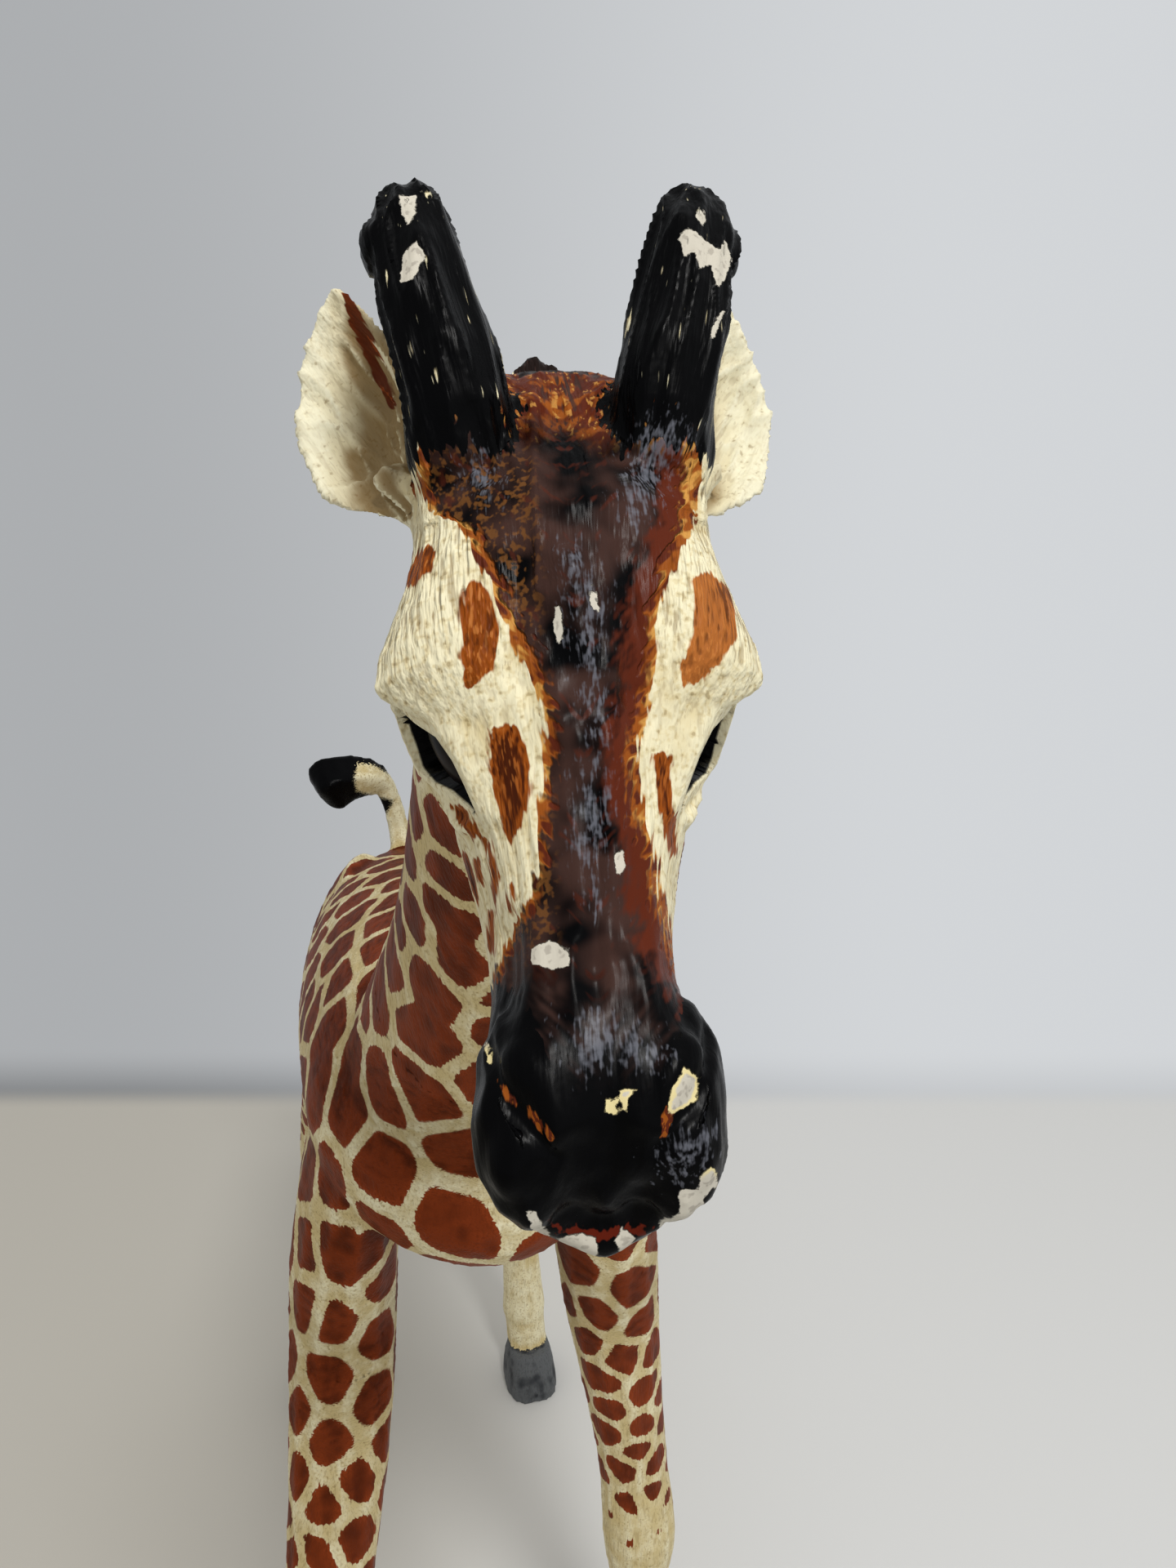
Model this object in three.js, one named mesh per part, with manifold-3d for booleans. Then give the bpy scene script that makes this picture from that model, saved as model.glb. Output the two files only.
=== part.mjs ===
// A standing giraffe figure in painted vinyl: twelve mouldings that plug together with keyed spigots.
// Millimetres, +Z up. The figure faces -Y, its left side is +X, and its four hooves stand on Z = 0.
import * as THREE from "three";
import { mergeVertices } from "three/addons/utils/BufferGeometryUtils.js";
import Module from "manifold-3d";

const wasm = await Module();
wasm.setup();

// Driving dimensions
const seamGap = 0.3; // between the faces of two mouldings that meet
const glueGap = 0.2; // round a spigot in its socket
const mergeDistance = 1e-4; // points closer than this are one point

const torso = {
  chestHeight: 78, // where the forelegs leave the chest, above the ground
  length: 83, // breast to buttocks
  breast: 15.5, // from the forelegs' centre line to the front of the breast
  halfWidth: 15.6,
  depth: 35.5, // from there up to the highest point of the back
};
const neck = {
  reach: 44.6, // how far the top stands in front of the root
  rise: 66.4, // and above it
  lean: 1.1, // and to its right
  rootBack: 6, // the root lies inside the shoulders, this far behind the forelegs
  rootHeight: 14, // and this far above the chest's height
  halfWidth: 5.6, // at the throat
  halfDepth: 6.6,
  collarShare: 0.34, // where along the neck it meets the torso
  throatShare: 0.7, // where along the neck it meets the head
};
const mane = { thickness: 2.2, height: 2.2, tuftDepth: 0.8, crownRise: 3, tufts: 15 };
const head = {
  length: 31.9, // poll to lips
  halfWidth: 7, // across the brows
  depth: 16.2, // which the heights of its sections follow
  pitchDegrees: 50.4, // how steeply the line of the face falls
  turnDegrees: 8.9, // how far the head looks to its right
  seatAlong: 1.2, // the end of the neck, measured along the face from the poll
  seatDepth: 7.2, // and below the line of the face
};
const eye = { radius: 2, lid: 0.35, openingLength: 4.2, openingHeight: 2.7 };
const nostril = { length: 3.6, width: 1.1, depth: 1.2, slantDegrees: 30 };
const mouth = { gap: 0.4, depth: 1.1, length: 9.5 };
const ossicone = { length: 12.6, radius: 2.13, knobRadius: 1.3 };
const ear = { length: 12.7, halfWidth: 3.2, cup: 1.9, thickness: 1 };
const tail = { reach: 11, rise: 10.5, back: 3.6, stalkRadius: 1.3, tuftRadius: 3.6 };
const foreleg = {
  rootSpacing: 25.4, // between the centre lines of the pair, inside the chest
  behind: 0, // the forelegs' centre line is the origin of every length along the body
  halfWidth: 4.2, // at the knee
  halfDepth: 4.3,
  rootRise: 26, // how far the shoulder runs up the side of the chest
  seamDrop: 1.2, // the seam with the torso is this far below the chest
};
const hindleg = {
  rootSpacing: 21,
  behind: 63, // from the forelegs' centre line to the hind hooves'
  halfWidth: 3.7, // at the hock
  halfDepth: 5,
  rootRise: 22.6,
  seamDrop: 4.5,
};
// How each leg stands: how much further out its hoof is than its root, and how far it steps forward
const stances = {
  front_left_leg: { splay: 4.2, stride: 0 },
  front_right_leg: { splay: 7, stride: 19 },
  rear_left_leg: { splay: 5.6, stride: 0 },
  rear_right_leg: { splay: 5.6, stride: -6 },
};
const hoof = { length: 10.8, halfWidth: 4.3, height: 7.4, cleftWidth: 1.1, cleftDepth: 3.2 };
const spigots = {
  collar: { radius: 5.2, length: 10 },
  throat: { radius: 3.1, length: 6.5 },
  leg: { radius: 2.7, length: 7 },
  ossicone: { radius: 1.2, length: 2.6 },
  ear: { radius: 0.8, length: 2.2 },
  tail: { radius: 0.75, length: 4 },
};
const spigotTipShare = 0.82; // a spigot's tip, of its radius
const spigotFlatShare = 0.78; // its narrow side, which keys it in its socket

// How finely the skins are divided: points round each section, and steps from end to end
const steps = {
  torso: { around: 26, along: 18 },
  neck: { around: 18, along: 16 },
  head: { around: 28, along: 26 },
  leg: { around: 12, along: 22 },
  hoof: { around: 16, along: 3 },
  ossicone: { around: 10, along: 9 },
  ear: { around: 14, along: 9 },
  tail: { around: 15, along: 12 },
  ball: { around: 12, along: 7 },
  spigot: 12,
  mouth: 5,
  cleft: 4,
};

const V = (x, y, z) => new THREE.Vector3(x, y, z);
const { degToRad, lerp } = THREE.MathUtils;
const both = (make) => [make(1), make(-1)];
const joined = (solids) => solids.reduce((whole, next) => whole.add(next));

/** The solid inside a closed geometry. */
function solid(geometry) {
  const bare = geometry.clone();
  bare.deleteAttribute("normal");
  bare.deleteAttribute("uv");
  const closed = mergeVertices(bare, mergeDistance);
  const vertProperties = closed.attributes.position.array;
  const triVerts = new Uint32Array(closed.index.array);
  return new wasm.Manifold(new wasm.Mesh({ numProp: 3, vertProperties, triVerts }));
}

function geometryOf(made) {
  const { vertProperties, triVerts } = made.getMesh();
  const geometry = new THREE.BufferGeometry();
  geometry.setAttribute("position", new THREE.BufferAttribute(new Float32Array(vertProperties), 3));
  geometry.setIndex(new THREE.BufferAttribute(new Uint32Array(triVerts), 1));
  geometry.computeVertexNormals();
  return geometry;
}
const placed = (made, matrix) => solid(geometryOf(made).applyMatrix4(matrix));

/** A smooth closed skin over sections, each a loop of the same number of points. */
function loft(sections, { around, along }) {
  const lines = sections[0].map(
    (_, j) => new THREE.CatmullRomCurve3(sections.map((section) => section[j])),
  );
  const loops = Array.from({ length: along + 1 }, (_, i) => {
    const loop = lines.map((line) => line.getPoint(i / along));
    return new THREE.CatmullRomCurve3(loop, true).getPoints(around).slice(0, -1);
  });
  return ruled(loops);
}

/** The closed skin that straight facets make between loops. Fans close its ends. */
function ruled(loops) {
  const around = loops[0].length;
  const along = loops.length - 1;
  const centre = (loop) =>
    loop.reduce((sum, point) => sum.add(point), V(0, 0, 0)).divideScalar(around);
  const points = [...loops.flat(), centre(loops[0]), centre(loops[along])];
  const [first, last] = [points.length - 2, points.length - 1];
  const faces = [];
  for (let j = 0; j < around; j += 1) {
    const next = (j + 1) % around;
    faces.push(first, next, j, last, along * around + j, along * around + next);
    for (let row = 0; row < along * around; row += around) {
      faces.push(row + j, row + next, row + around + next);
      faces.push(row + j, row + around + next, row + around + j);
    }
  }
  const geometry = new THREE.BufferGeometry().setFromPoints(points);
  geometry.setIndex(facingOut(points, faces));
  return solid(geometry);
}

/** The same faces, turned round if they enclose a negative volume. */
function facingOut(points, faces) {
  let volume = 0;
  for (let k = 0; k < faces.length; k += 3) {
    const [a, b, c] = faces.slice(k, k + 3).map((index) => points[index]);
    volume += a.dot(b.clone().cross(c));
  }
  return volume < 0 ? faces.reverse() : faces;
}

/** A whole outline from its right half, whose first and last points lie on the axis. */
const mirrored = (half) => [
  ...half,
  ...half
    .slice(1, -1)
    .reverse()
    .map(([x, y]) => [-x, y]),
];

/** A rounded outline of a half width, with its own reach to the front and to the back. */
function rounded(halfWidth, front, back, fullness = 1) {
  const corner = Math.SQRT1_2 * fullness;
  return mirrored([
    [0, front],
    [halfWidth * corner, front * corner],
    [halfWidth, 0],
    [halfWidth * corner, -back * corner],
    [0, -back],
  ]);
}

/** Loops round a line; each row is a place on the line and the radius there. Lobes flute the loops. */
function rings(line, rows, points, lobes = 0, lobeShare = 0) {
  return rows.map(([share, radius]) => {
    const along = line.getTangent(share);
    const side = V(0, 1, 0).cross(along).normalize();
    const other = along.clone().cross(side);
    return Array.from({ length: points }, (_, k) => {
      const angle = (k / points) * Math.PI * 2;
      const reach = radius * (1 + lobeShare * Math.cos(lobes * angle));
      const point = line.getPoint(share).addScaledVector(side, reach * Math.cos(angle));
      return point.addScaledVector(other, reach * Math.sin(angle));
    });
  });
}

function ball(radii, at) {
  const shape = new THREE.SphereGeometry(1, steps.ball.around, steps.ball.along);
  return solid(shape.scale(radii.x, radii.y, radii.z).translate(at.x, at.y, at.z));
}

// A seam is a plane across two mouldings, and each keeps its own side less half of the gap
const aheadOf = (made, { point, normal }) =>
  made.trimByPlane(normal.toArray(), normal.dot(point) + seamGap / 2);
const behind = (made, { point, normal }) =>
  made.trimByPlane(normal.clone().negate().toArray(), seamGap / 2 - normal.dot(point));

/** A keyed spigot that stands on a seam. Grown by the glue gap, it is its own socket. */
function spigot({ radius, length }, { point, normal }, grow = 0) {
  const root = radius + grow;
  const reach = length + grow + radius;
  const shape = new THREE.CylinderGeometry(root * spigotTipShare, root, reach, steps.spigot);
  shape.scale(1, 1, spigotFlatShare);
  shape.translate(0, reach / 2 - radius, 0);
  shape.applyQuaternion(new THREE.Quaternion().setFromUnitVectors(V(0, 1, 0), normal));
  return solid(shape.translate(point.x, point.y, point.z));
}
const reversed = ({ point, normal }) => ({ point, normal: normal.clone().negate() });

/** A moulding with its spigot: the spigot stands on the moulding's own face at the seam. */
const withSpigot = (made, size, seam) => made.add(spigot(size, seam));
const withSocket = (made, size, seam) => made.subtract(spigot(size, seam, glueGap));

// Torso: the barrel of the body. Rows run from the breast to the buttocks, in shares of its length,
// its half width, and its depth for the back and the underside. The last is how full the section is.
const torsoShares = [
  [0.0, 0.18, 0.6, 0.51, 0.9],
  [0.03, 0.46, 0.73, 0.42, 0.96],
  [0.09, 0.75, 0.85, 0.34, 0.99],
  [0.19, 0.95, 0.95, 0.25, 1.0],
  [0.3, 1.0, 0.99, 0.19, 1.0],
  [0.45, 1.01, 0.93, 0.16, 1.0],
  [0.6, 0.97, 0.84, 0.18, 1.0],
  [0.74, 0.88, 0.75, 0.23, 1.0],
  [0.86, 0.71, 0.67, 0.3, 0.98],
  [0.95, 0.47, 0.61, 0.35, 0.94],
  [1.0, 0.16, 0.53, 0.42, 0.9],
];
const torsoBellyShare = 0.44; // where a section is widest, from the underside up
const torsoY = (share) => share * torso.length - torso.breast;
const torsoZ = (share) => torso.chestHeight + share * torso.depth;

function barrel() {
  const section = ([along, width, top, bottom, fullness]) => {
    const middle = lerp(torsoZ(bottom), torsoZ(top), torsoBellyShare);
    const outline = rounded(
      width * torso.halfWidth,
      torsoZ(top) - middle,
      middle - torsoZ(bottom),
      fullness,
    );
    return outline.map(([x, z]) => V(x, torsoY(along), middle + z));
  };
  return loft(torsoShares.map(section), steps.torso);
}

// Neck: rows run from its root inside the shoulders to the back of the skull, in shares of its reach,
// its rise, its lean, its half width, and its half depth towards the throat and towards the nape.
const neckShares = [
  [-0.05, 0.05, 0.0, 2.3, 1.5, 2.0],
  [0.06, 0.12, 0.03, 2.35, 2.0, 2.1],
  [0.166, 0.22, 0.09, 2.0, 2.0, 1.85],
  [0.29, 0.36, 0.2, 1.56, 1.62, 1.52],
  [0.426, 0.491, 0.33, 1.28, 1.33, 1.27],
  [0.56, 0.62, 0.47, 1.13, 1.14, 1.13],
  [0.679, 0.738, 0.61, 1.04, 1.04, 1.04],
  [0.8, 0.84, 0.75, 0.99, 0.98, 0.99],
  [0.888, 0.908, 0.86, 0.96, 0.96, 0.95],
  [1.0, 1.0, 1.0, 0.88, 0.85, 0.82],
];
const neckRows = neckShares.length - 1;
const neckRootZ = torso.chestHeight + neck.rootHeight;
const neckLine = new THREE.CatmullRomCurve3(
  neckShares.map(([reach, rise, lean]) =>
    V(-lean * neck.lean, neck.rootBack - reach * neck.reach, neckRootZ + rise * neck.rise),
  ),
);
const neckTop = neckLine.getPoint(1);
const throatward = (share) => V(1, 0, 0).cross(neckLine.getTangent(share)).normalize();
const seamAt = (share) => ({ point: neckLine.getPoint(share), normal: neckLine.getTangent(share) });
const collarSeam = seamAt(neck.collarShare);
const throatSeam = seamAt(neck.throatShare);

function neckSkin() {
  const section = ([, , , width, front, back], row) => {
    const share = row / neckRows;
    const outline = rounded(width * neck.halfWidth, front * neck.halfDepth, back * neck.halfDepth);
    return outline.map(([x, y]) =>
      neckLine.getPoint(share).add(V(x, 0, 0)).addScaledVector(throatward(share), y),
    );
  };
  return loft(neckShares.map(section), steps.neck);
}

// Mane: a crest of tufts down the nape, from the crown between the ears to the withers.
const maneFromShare = 0.17;
const maneRootShare = 0.8; // how deep in the neck the crest is rooted
const maneEndShare = 0.22; // of the crest, over which it rises from the withers
const maneShoulderShare = 0.6; // of the crest's height, up to which its sides are upright

/** The nape's depth behind the neck's line; past the end of the neck it stays as it is there. */
function napeDepth(share) {
  const place = Math.min(share, 1) * neckRows;
  const row = Math.min(Math.floor(place), neckRows - 1);
  const [near, far] = [neckShares[row], neckShares[row + 1]].map((shares) => shares.at(-1));
  return lerp(near, far, place - row) * neck.halfDepth;
}

/** A point behind the neck's line; past the end of the neck, its line goes straight on. */
function behindNeck(share, depth) {
  const inside = Math.min(share, 1);
  const past = (share - inside) * neckLine.getLength();
  const centre = neckLine.getPoint(inside).addScaledVector(neckLine.getTangent(inside), past);
  return centre.addScaledVector(throatward(inside), -depth);
}

function crest() {
  const toShare = 1 + mane.crownRise / neckLine.getLength();
  const rows = mane.tufts * 2;
  const sections = Array.from({ length: rows + 1 }, (_, i) => {
    const share = lerp(maneFromShare, toShare, i / rows);
    const rise = Math.min(1, i / rows / maneEndShare);
    const height = mane.height * rise - (i % 2 ? 0 : mane.tuftDepth);
    const [edge, root] = [napeDepth(share) + height, napeDepth(share) * maneRootShare];
    const half = V(mane.thickness / 2, 0, 0);
    const shoulder = behindNeck(share, lerp(root, edge, maneShoulderShare));
    return [
      behindNeck(share, edge),
      shoulder.clone().add(half),
      behindNeck(share, root).add(half),
      behindNeck(share, root).sub(half),
      shoulder.clone().sub(half),
    ];
  });
  return ruled(sections);
}
const neckForm = neckSkin().add(crest());

// Head, in its own axes: X to its left, Y out of the face, Z along the face from the poll to the lips.
// Each row is how far along the face, then the right half of the section from the bridge of the nose
// down to the chin, in shares of the half width and of the depth.
const headShares = [
  [
    -0.116,
    [[0, -0.27], [0.26, -0.29], [0.46, -0.35], [0.56, -0.48], [0.52, -0.56], [0.36, -0.63], [0, -0.67]],
  ],
  [
    -0.026,
    [[0, -0.03], [0.36, -0.05], [0.64, -0.14], [0.77, -0.32], [0.74, -0.52], [0.52, -0.69], [0, -0.76]],
  ],
  [
    0.1,
    [[0, 0.055], [0.43, 0.04], [0.76, -0.05], [0.85, -0.28], [0.8, -0.54], [0.58, -0.76], [0, -0.84]],
  ],
  [
    0.21,
    [[0, 0.12], [0.36, 0.085], [0.74, 0.0], [0.88, -0.22], [0.83, -0.52], [0.62, -0.79], [0, -0.9]],
  ],
  [
    0.31,
    [[0, 0.115], [0.33, 0.075], [0.76, 0.03], [0.99, -0.13], [0.86, -0.44], [0.66, -0.77], [0, -0.9]],
  ],
  [
    0.385,
    [[0, 0.085], [0.31, 0.045], [0.74, 0.01], [1.06, -0.12], [0.8, -0.36], [0.68, -0.72], [0, -0.86]],
  ],
  [
    0.445,
    [[0, 0.06], [0.29, 0.015], [0.6, -0.05], [0.83, -0.17], [0.7, -0.38], [0.66, -0.67], [0, -0.8]],
  ],
  [
    0.52,
    [[0, 0.025], [0.27, -0.01], [0.48, -0.08], [0.61, -0.18], [0.66, -0.4], [0.58, -0.61], [0, -0.72]],
  ],
  [
    0.62,
    [[0, 0.005], [0.25, -0.02], [0.4, -0.1], [0.49, -0.23], [0.55, -0.38], [0.46, -0.555], [0, -0.635]],
  ],
  [
    0.735,
    [[0, 0.0], [0.25, -0.018], [0.39, -0.1], [0.46, -0.22], [0.49, -0.33], [0.41, -0.485], [0, -0.565]],
  ],
  [
    0.825,
    [[0, 0.02], [0.31, -0.005], [0.5, -0.09], [0.56, -0.2], [0.55, -0.31], [0.43, -0.475], [0, -0.545]],
  ],
  [
    0.9,
    [[0, -0.005], [0.33, -0.03], [0.53, -0.12], [0.58, -0.23], [0.55, -0.33], [0.41, -0.465], [0, -0.52]],
  ],
  [
    0.965,
    [[0, -0.1], [0.27, -0.12], [0.41, -0.19], [0.45, -0.26], [0.42, -0.34], [0.31, -0.425], [0, -0.465]],
  ],
  [
    1.0,
    [[0, -0.22], [0.12, -0.23], [0.19, -0.26], [0.21, -0.29], [0.19, -0.32], [0.13, -0.36], [0, -0.37]],
  ],
];
const headMiddleShare = -0.35; // of the depth, the middle that its sections grow away from

/** A point of the head: shares of its half width, of its depth and of its length. */
const headPoint = (side, out, along) => V(side * head.halfWidth, out * head.depth, along * head.length);

function skull(grow = 0) {
  const section = ([along, half]) =>
    mirrored(half).map(([side, out]) => {
      const point = headPoint(side, out, along);
      const outward = headPoint(side, out - headMiddleShare, 0).normalize();
      return point.addScaledVector(outward, grow);
    });
  return loft(headShares.map(section), steps.head);
}

// What swells out of the skull on its left side, mirrored on its right: the place, then the radii,
// both in shares of the half width, the depth and the length.
const swellShares = {
  nostrilWing: [[0.36, -0.13, 0.868], [0.28, 0.12, 0.12]],
  lip: [[0.14, -0.345, 0.93], [0.3, 0.07, 0.075]],
};
const orbitShares = [0.47, -0.23, 0.462]; // the middle of an eye, in the same shares
const lookShares = [0.8, 0.25, 0.5]; // where it looks
const lidLengthShare = 1.3; // how much longer than high the lids are
const nostrilShares = [0.33, -0.005, 0.875];

const swell = ([place, radii], hand) => {
  const at = headPoint(...place);
  return ball(headPoint(...radii), V(at.x * hand, at.y, at.z));
};

/** An eye in its lids: what is joined to the head, and the opening between the lids. */
function eyeOf(hand) {
  const at = headPoint(...orbitShares);
  const lidRadius = eye.radius + eye.lid;
  const lidLength = lidRadius * lidLengthShare;
  const look = V(...lookShares).normalize().multiplyScalar(lidRadius);
  const openingRadii = V(eye.openingHeight / 2, eye.openingHeight / 2, eye.openingLength / 2);
  return {
    lids: ball(V(lidRadius, lidRadius, lidLength), V(at.x * hand, at.y, at.z)),
    opening: ball(openingRadii, V((at.x + look.x) * hand, at.y + look.y, at.z + look.z)),
    eyeball: ball(V(eye.radius, eye.radius, eye.radius), V(at.x * hand, at.y, at.z)),
  };
}

function nostrilPit(hand) {
  const at = headPoint(...nostrilShares);
  const shape = new THREE.SphereGeometry(1, steps.ball.around, steps.ball.along);
  shape.scale(nostril.width / 2, nostril.depth, nostril.length / 2);
  shape.rotateY(degToRad(-nostril.slantDegrees * hand));
  return solid(shape.translate(at.x * hand, at.y, at.z));
}

// The mouth: a groove of even depth round the muzzle, from the lips back to its corners.
const lipLineShare = -0.345; // of the head's depth, at the front
const mouthDropShare = 0.035; // of the head's depth, to the corners
const muzzleHalfWidthShare = 0.55;
function mouthGroove() {
  const front = headPoint(0, lipLineShare, 1);
  const corner = headPoint(0, lipLineShare - mouthDropShare, 1);
  const line = new THREE.QuadraticBezierCurve(
    new THREE.Vector2(front.z + mouth.depth, front.y),
    new THREE.Vector2(front.z - mouth.length / 2, front.y),
    new THREE.Vector2(front.z - mouth.length, corner.y),
  ).getPoints(steps.mouth);
  const lower = line.map(({ x, y }) => new THREE.Vector2(x, y - mouth.gap)).reverse();
  const width = head.halfWidth * 2;
  const shape = new THREE.ExtrudeGeometry(new THREE.Shape([...line, ...lower]), {
    depth: width,
    bevelEnabled: false,
  });
  shape.translate(0, 0, -width / 2);
  shape.applyMatrix4(new THREE.Matrix4().makeBasis(V(0, 0, 1), V(0, 1, 0), V(-1, 0, 0)));
  const inner = 1 - mouth.depth / (muzzleHalfWidthShare * head.halfWidth);
  const core = new THREE.Matrix4()
    .makeTranslation(0, front.y, 0)
    .multiply(new THREE.Matrix4().makeScale(inner, inner, 1 - mouth.depth / head.length))
    .multiply(new THREE.Matrix4().makeTranslation(0, -front.y, 0));
  return solid(shape).subtract(placed(skull(), core));
}

function headSkin() {
  const swells = Object.values(swellShares).flatMap((shares) => both((hand) => swell(shares, hand)));
  const eyes = both(eyeOf);
  let skin = joined([skull(), ...swells, ...eyes.map(({ lids }) => lids)]);
  eyes.forEach(({ opening, eyeball }) => {
    skin = skin.subtract(opening).add(eyeball);
  });
  both(nostrilPit).forEach((pit) => {
    skin = skin.subtract(pit);
  });
  return skin.subtract(mouthGroove());
}

const headTurn = new THREE.Matrix4()
  .makeRotationZ(degToRad(-head.turnDegrees))
  .multiply(new THREE.Matrix4().makeRotationX(degToRad(90 + head.pitchDegrees)));
const headSeat = V(0, -head.seatDepth, head.seatAlong).applyMatrix4(headTurn);
const headPose = headTurn.clone().setPosition(neckTop.clone().sub(headSeat));
const toHead = headPose.clone().invert();

// Ossicones and ears stand on the skull, on its left side; the right ones mirror them. Their lines run
// from a root inside the skull, in shares of their own length.
const ossiconeRootShares = [0.49, -0.1, 0.13];
const ossiconeLineShares = [
  [0, 0, 0],
  [0.06, 0.18, -0.245],
  [0.135, 0.25, -0.58],
  [0.187, 0.275, -0.955],
];
const ossiconeRadiusShares = [
  [0, 1.25],
  [0.18, 1.14],
  [0.38, 1.0],
  [0.6, 0.94],
  [0.78, 0.88],
  [0.89, 0.77],
  [0.96, 0.55],
  [1, 0.17],
];
const knobShares = { along: 0.8, side: 0.45 }; // the knob's place on the line, and how far out of it
const earRootShares = [0.8, -0.2, 0.1];
const earLineShares = [
  [0, 0, 0],
  [0.14, -0.07, -0.17],
  [0.2, -0.11, -0.38],
  [0.245, -0.085, -0.6],
  [0.28, -0.02, -0.83],
];
const earSpreadShares = { left: 0.72, right: 1 }; // how much of its line's spread each ear stands out
const earOutlineShares = [
  [0, 0.4, 0.1],
  [0.12, 0.52, 0.4],
  [0.28, 0.86, 0.85],
  [0.46, 1.0, 1.0],
  [0.66, 0.9, 0.85],
  [0.83, 0.6, 0.5],
  [0.95, 0.27, 0.15],
  [1, 0.1, 0.05],
];
const earOpenShares = [0.5, 0.85, 0.1]; // where the cup of the ear faces
const seatShares = { ossicone: 0.2, ear: 0.12 }; // where along each line its seam with the skull lies

/** A line that starts at a root on the head and runs in shares of a length. */
function headLine(rootShares, lineShares, length) {
  const root = headPoint(...rootShares);
  const points = lineShares.map((shares) => V(...shares).multiplyScalar(length).add(root));
  return new THREE.CatmullRomCurve3(points);
}
const ossiconeLine = headLine(ossiconeRootShares, ossiconeLineShares, ossicone.length);
const earLineOf = (spread) =>
  headLine(
    earRootShares,
    earLineShares.map(([side, out, along]) => [side * spread, out, along]),
    ear.length,
  );
const plugSeam = (line, share) => ({
  point: line.getPoint(share),
  normal: line.getTangent(share).negate(),
});
const ossiconeSeam = plugSeam(ossiconeLine, seatShares.ossicone);

/** The ears as if each stood on the left: their lines, their seams with the skull, and their hands. */
const ears = Object.entries(earSpreadShares).map(([side, spread]) => {
  const line = earLineOf(spread);
  return { side, line, seam: plugSeam(line, seatShares.ear), hand: side === "left" ? 1 : -1 };
});

function ossiconeForm() {
  const rows = ossiconeRadiusShares.map(([share, radius]) => [share, radius * ossicone.radius]);
  const stem = loft(rings(ossiconeLine, rows, steps.ossicone.around / 2), steps.ossicone);
  const at = ossiconeLine.getPoint(knobShares.along);
  at.x += knobShares.side * ossicone.radius;
  return stem.add(ball(V(ossicone.knobRadius, ossicone.knobRadius, ossicone.knobRadius), at));
}

// A cupped leaf: the back of each section is an arch, and its front is the same arch, hollowed
const earBackShares = [-1, -0.6, 0, 0.6, 1];
const earFrontShares = [0.75, 0.3, -0.3, -0.75];
const earRimShare = 0.5; // how much thinner the rim is than the middle of the cup
const earArchShare = 0.5; // how much of the arch's depth lies behind the ear's line
function earForm(line) {
  const section = ([share, width, cup]) => {
    const along = line.getTangent(share);
    const wide = along.clone().cross(V(...earOpenShares)).normalize();
    const open = wide.clone().cross(along);
    const place = (k, depth) =>
      line
        .getPoint(share)
        .addScaledVector(wide, k * width * ear.halfWidth)
        .addScaledVector(open, cup * ear.cup * (k * k - earArchShare) - depth);
    const wall = ear.thickness * Math.max(width, earRimShare);
    return [
      ...earBackShares.map((k) => place(k, wall * (1 - earRimShare * k * k))),
      ...earFrontShares.map((k) => place(k, 0)),
    ];
  };
  return loft(earOutlineShares.map(section), steps.ear);
}

const seatedSkull = skull(seamGap);
const onSkull = (form, size, seam) => withSpigot(form.subtract(seatedSkull), size, seam);

// Tail: lifted off the rump and curled to the right, with a tassel of fluted strands at its end.
// Rows are shares of the reach, of how far it stands back, and of the rise.
const tailLineShares = [
  [0, -0.9, -0.35],
  [0, 0, 0],
  [-0.06, 0.75, 0.45],
  [-0.2, 0.95, 0.85],
  [-0.5, 0.6, 1.0],
  [-0.78, 0.4, 0.98],
  [-1.0, 0.35, 0.85],
];
const tailRadiusShares = [
  [0, 1.5, 0],
  [0.17, 1.3, 0],
  [0.34, 1.0, 0],
  [0.46, 0.85, 0.1],
  [0.56, 0.5, 0.45],
  [0.68, 0.2, 0.72],
  [0.8, 0, 0.92],
  [0.9, 0, 1.0],
  [0.97, 0, 0.75],
  [1, 0, 0.25],
];
const tailRootShares = { along: 0.955, rise: 0.6 };
const tailSeamShare = 0.2;
const strands = { count: 5, depthShare: 0.12 };
const tailLine = new THREE.CatmullRomCurve3(
  tailLineShares.map(([side, back, up]) =>
    V(
      side * tail.reach,
      torsoY(tailRootShares.along) + back * tail.back,
      torsoZ(tailRootShares.rise) + up * tail.rise,
    ),
  ),
);
const tailSeam = { point: tailLine.getPoint(tailSeamShare), normal: tailLine.getTangent(tailSeamShare) };

function tailForm() {
  const rows = tailRadiusShares.map(([share, stalk, tuft]) => [
    share,
    stalk * tail.stalkRadius + tuft * tail.tuftRadius,
  ]);
  return loft(rings(tailLine, rows, steps.tail.around, strands.count, strands.depthShare), steps.tail);
}

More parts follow.
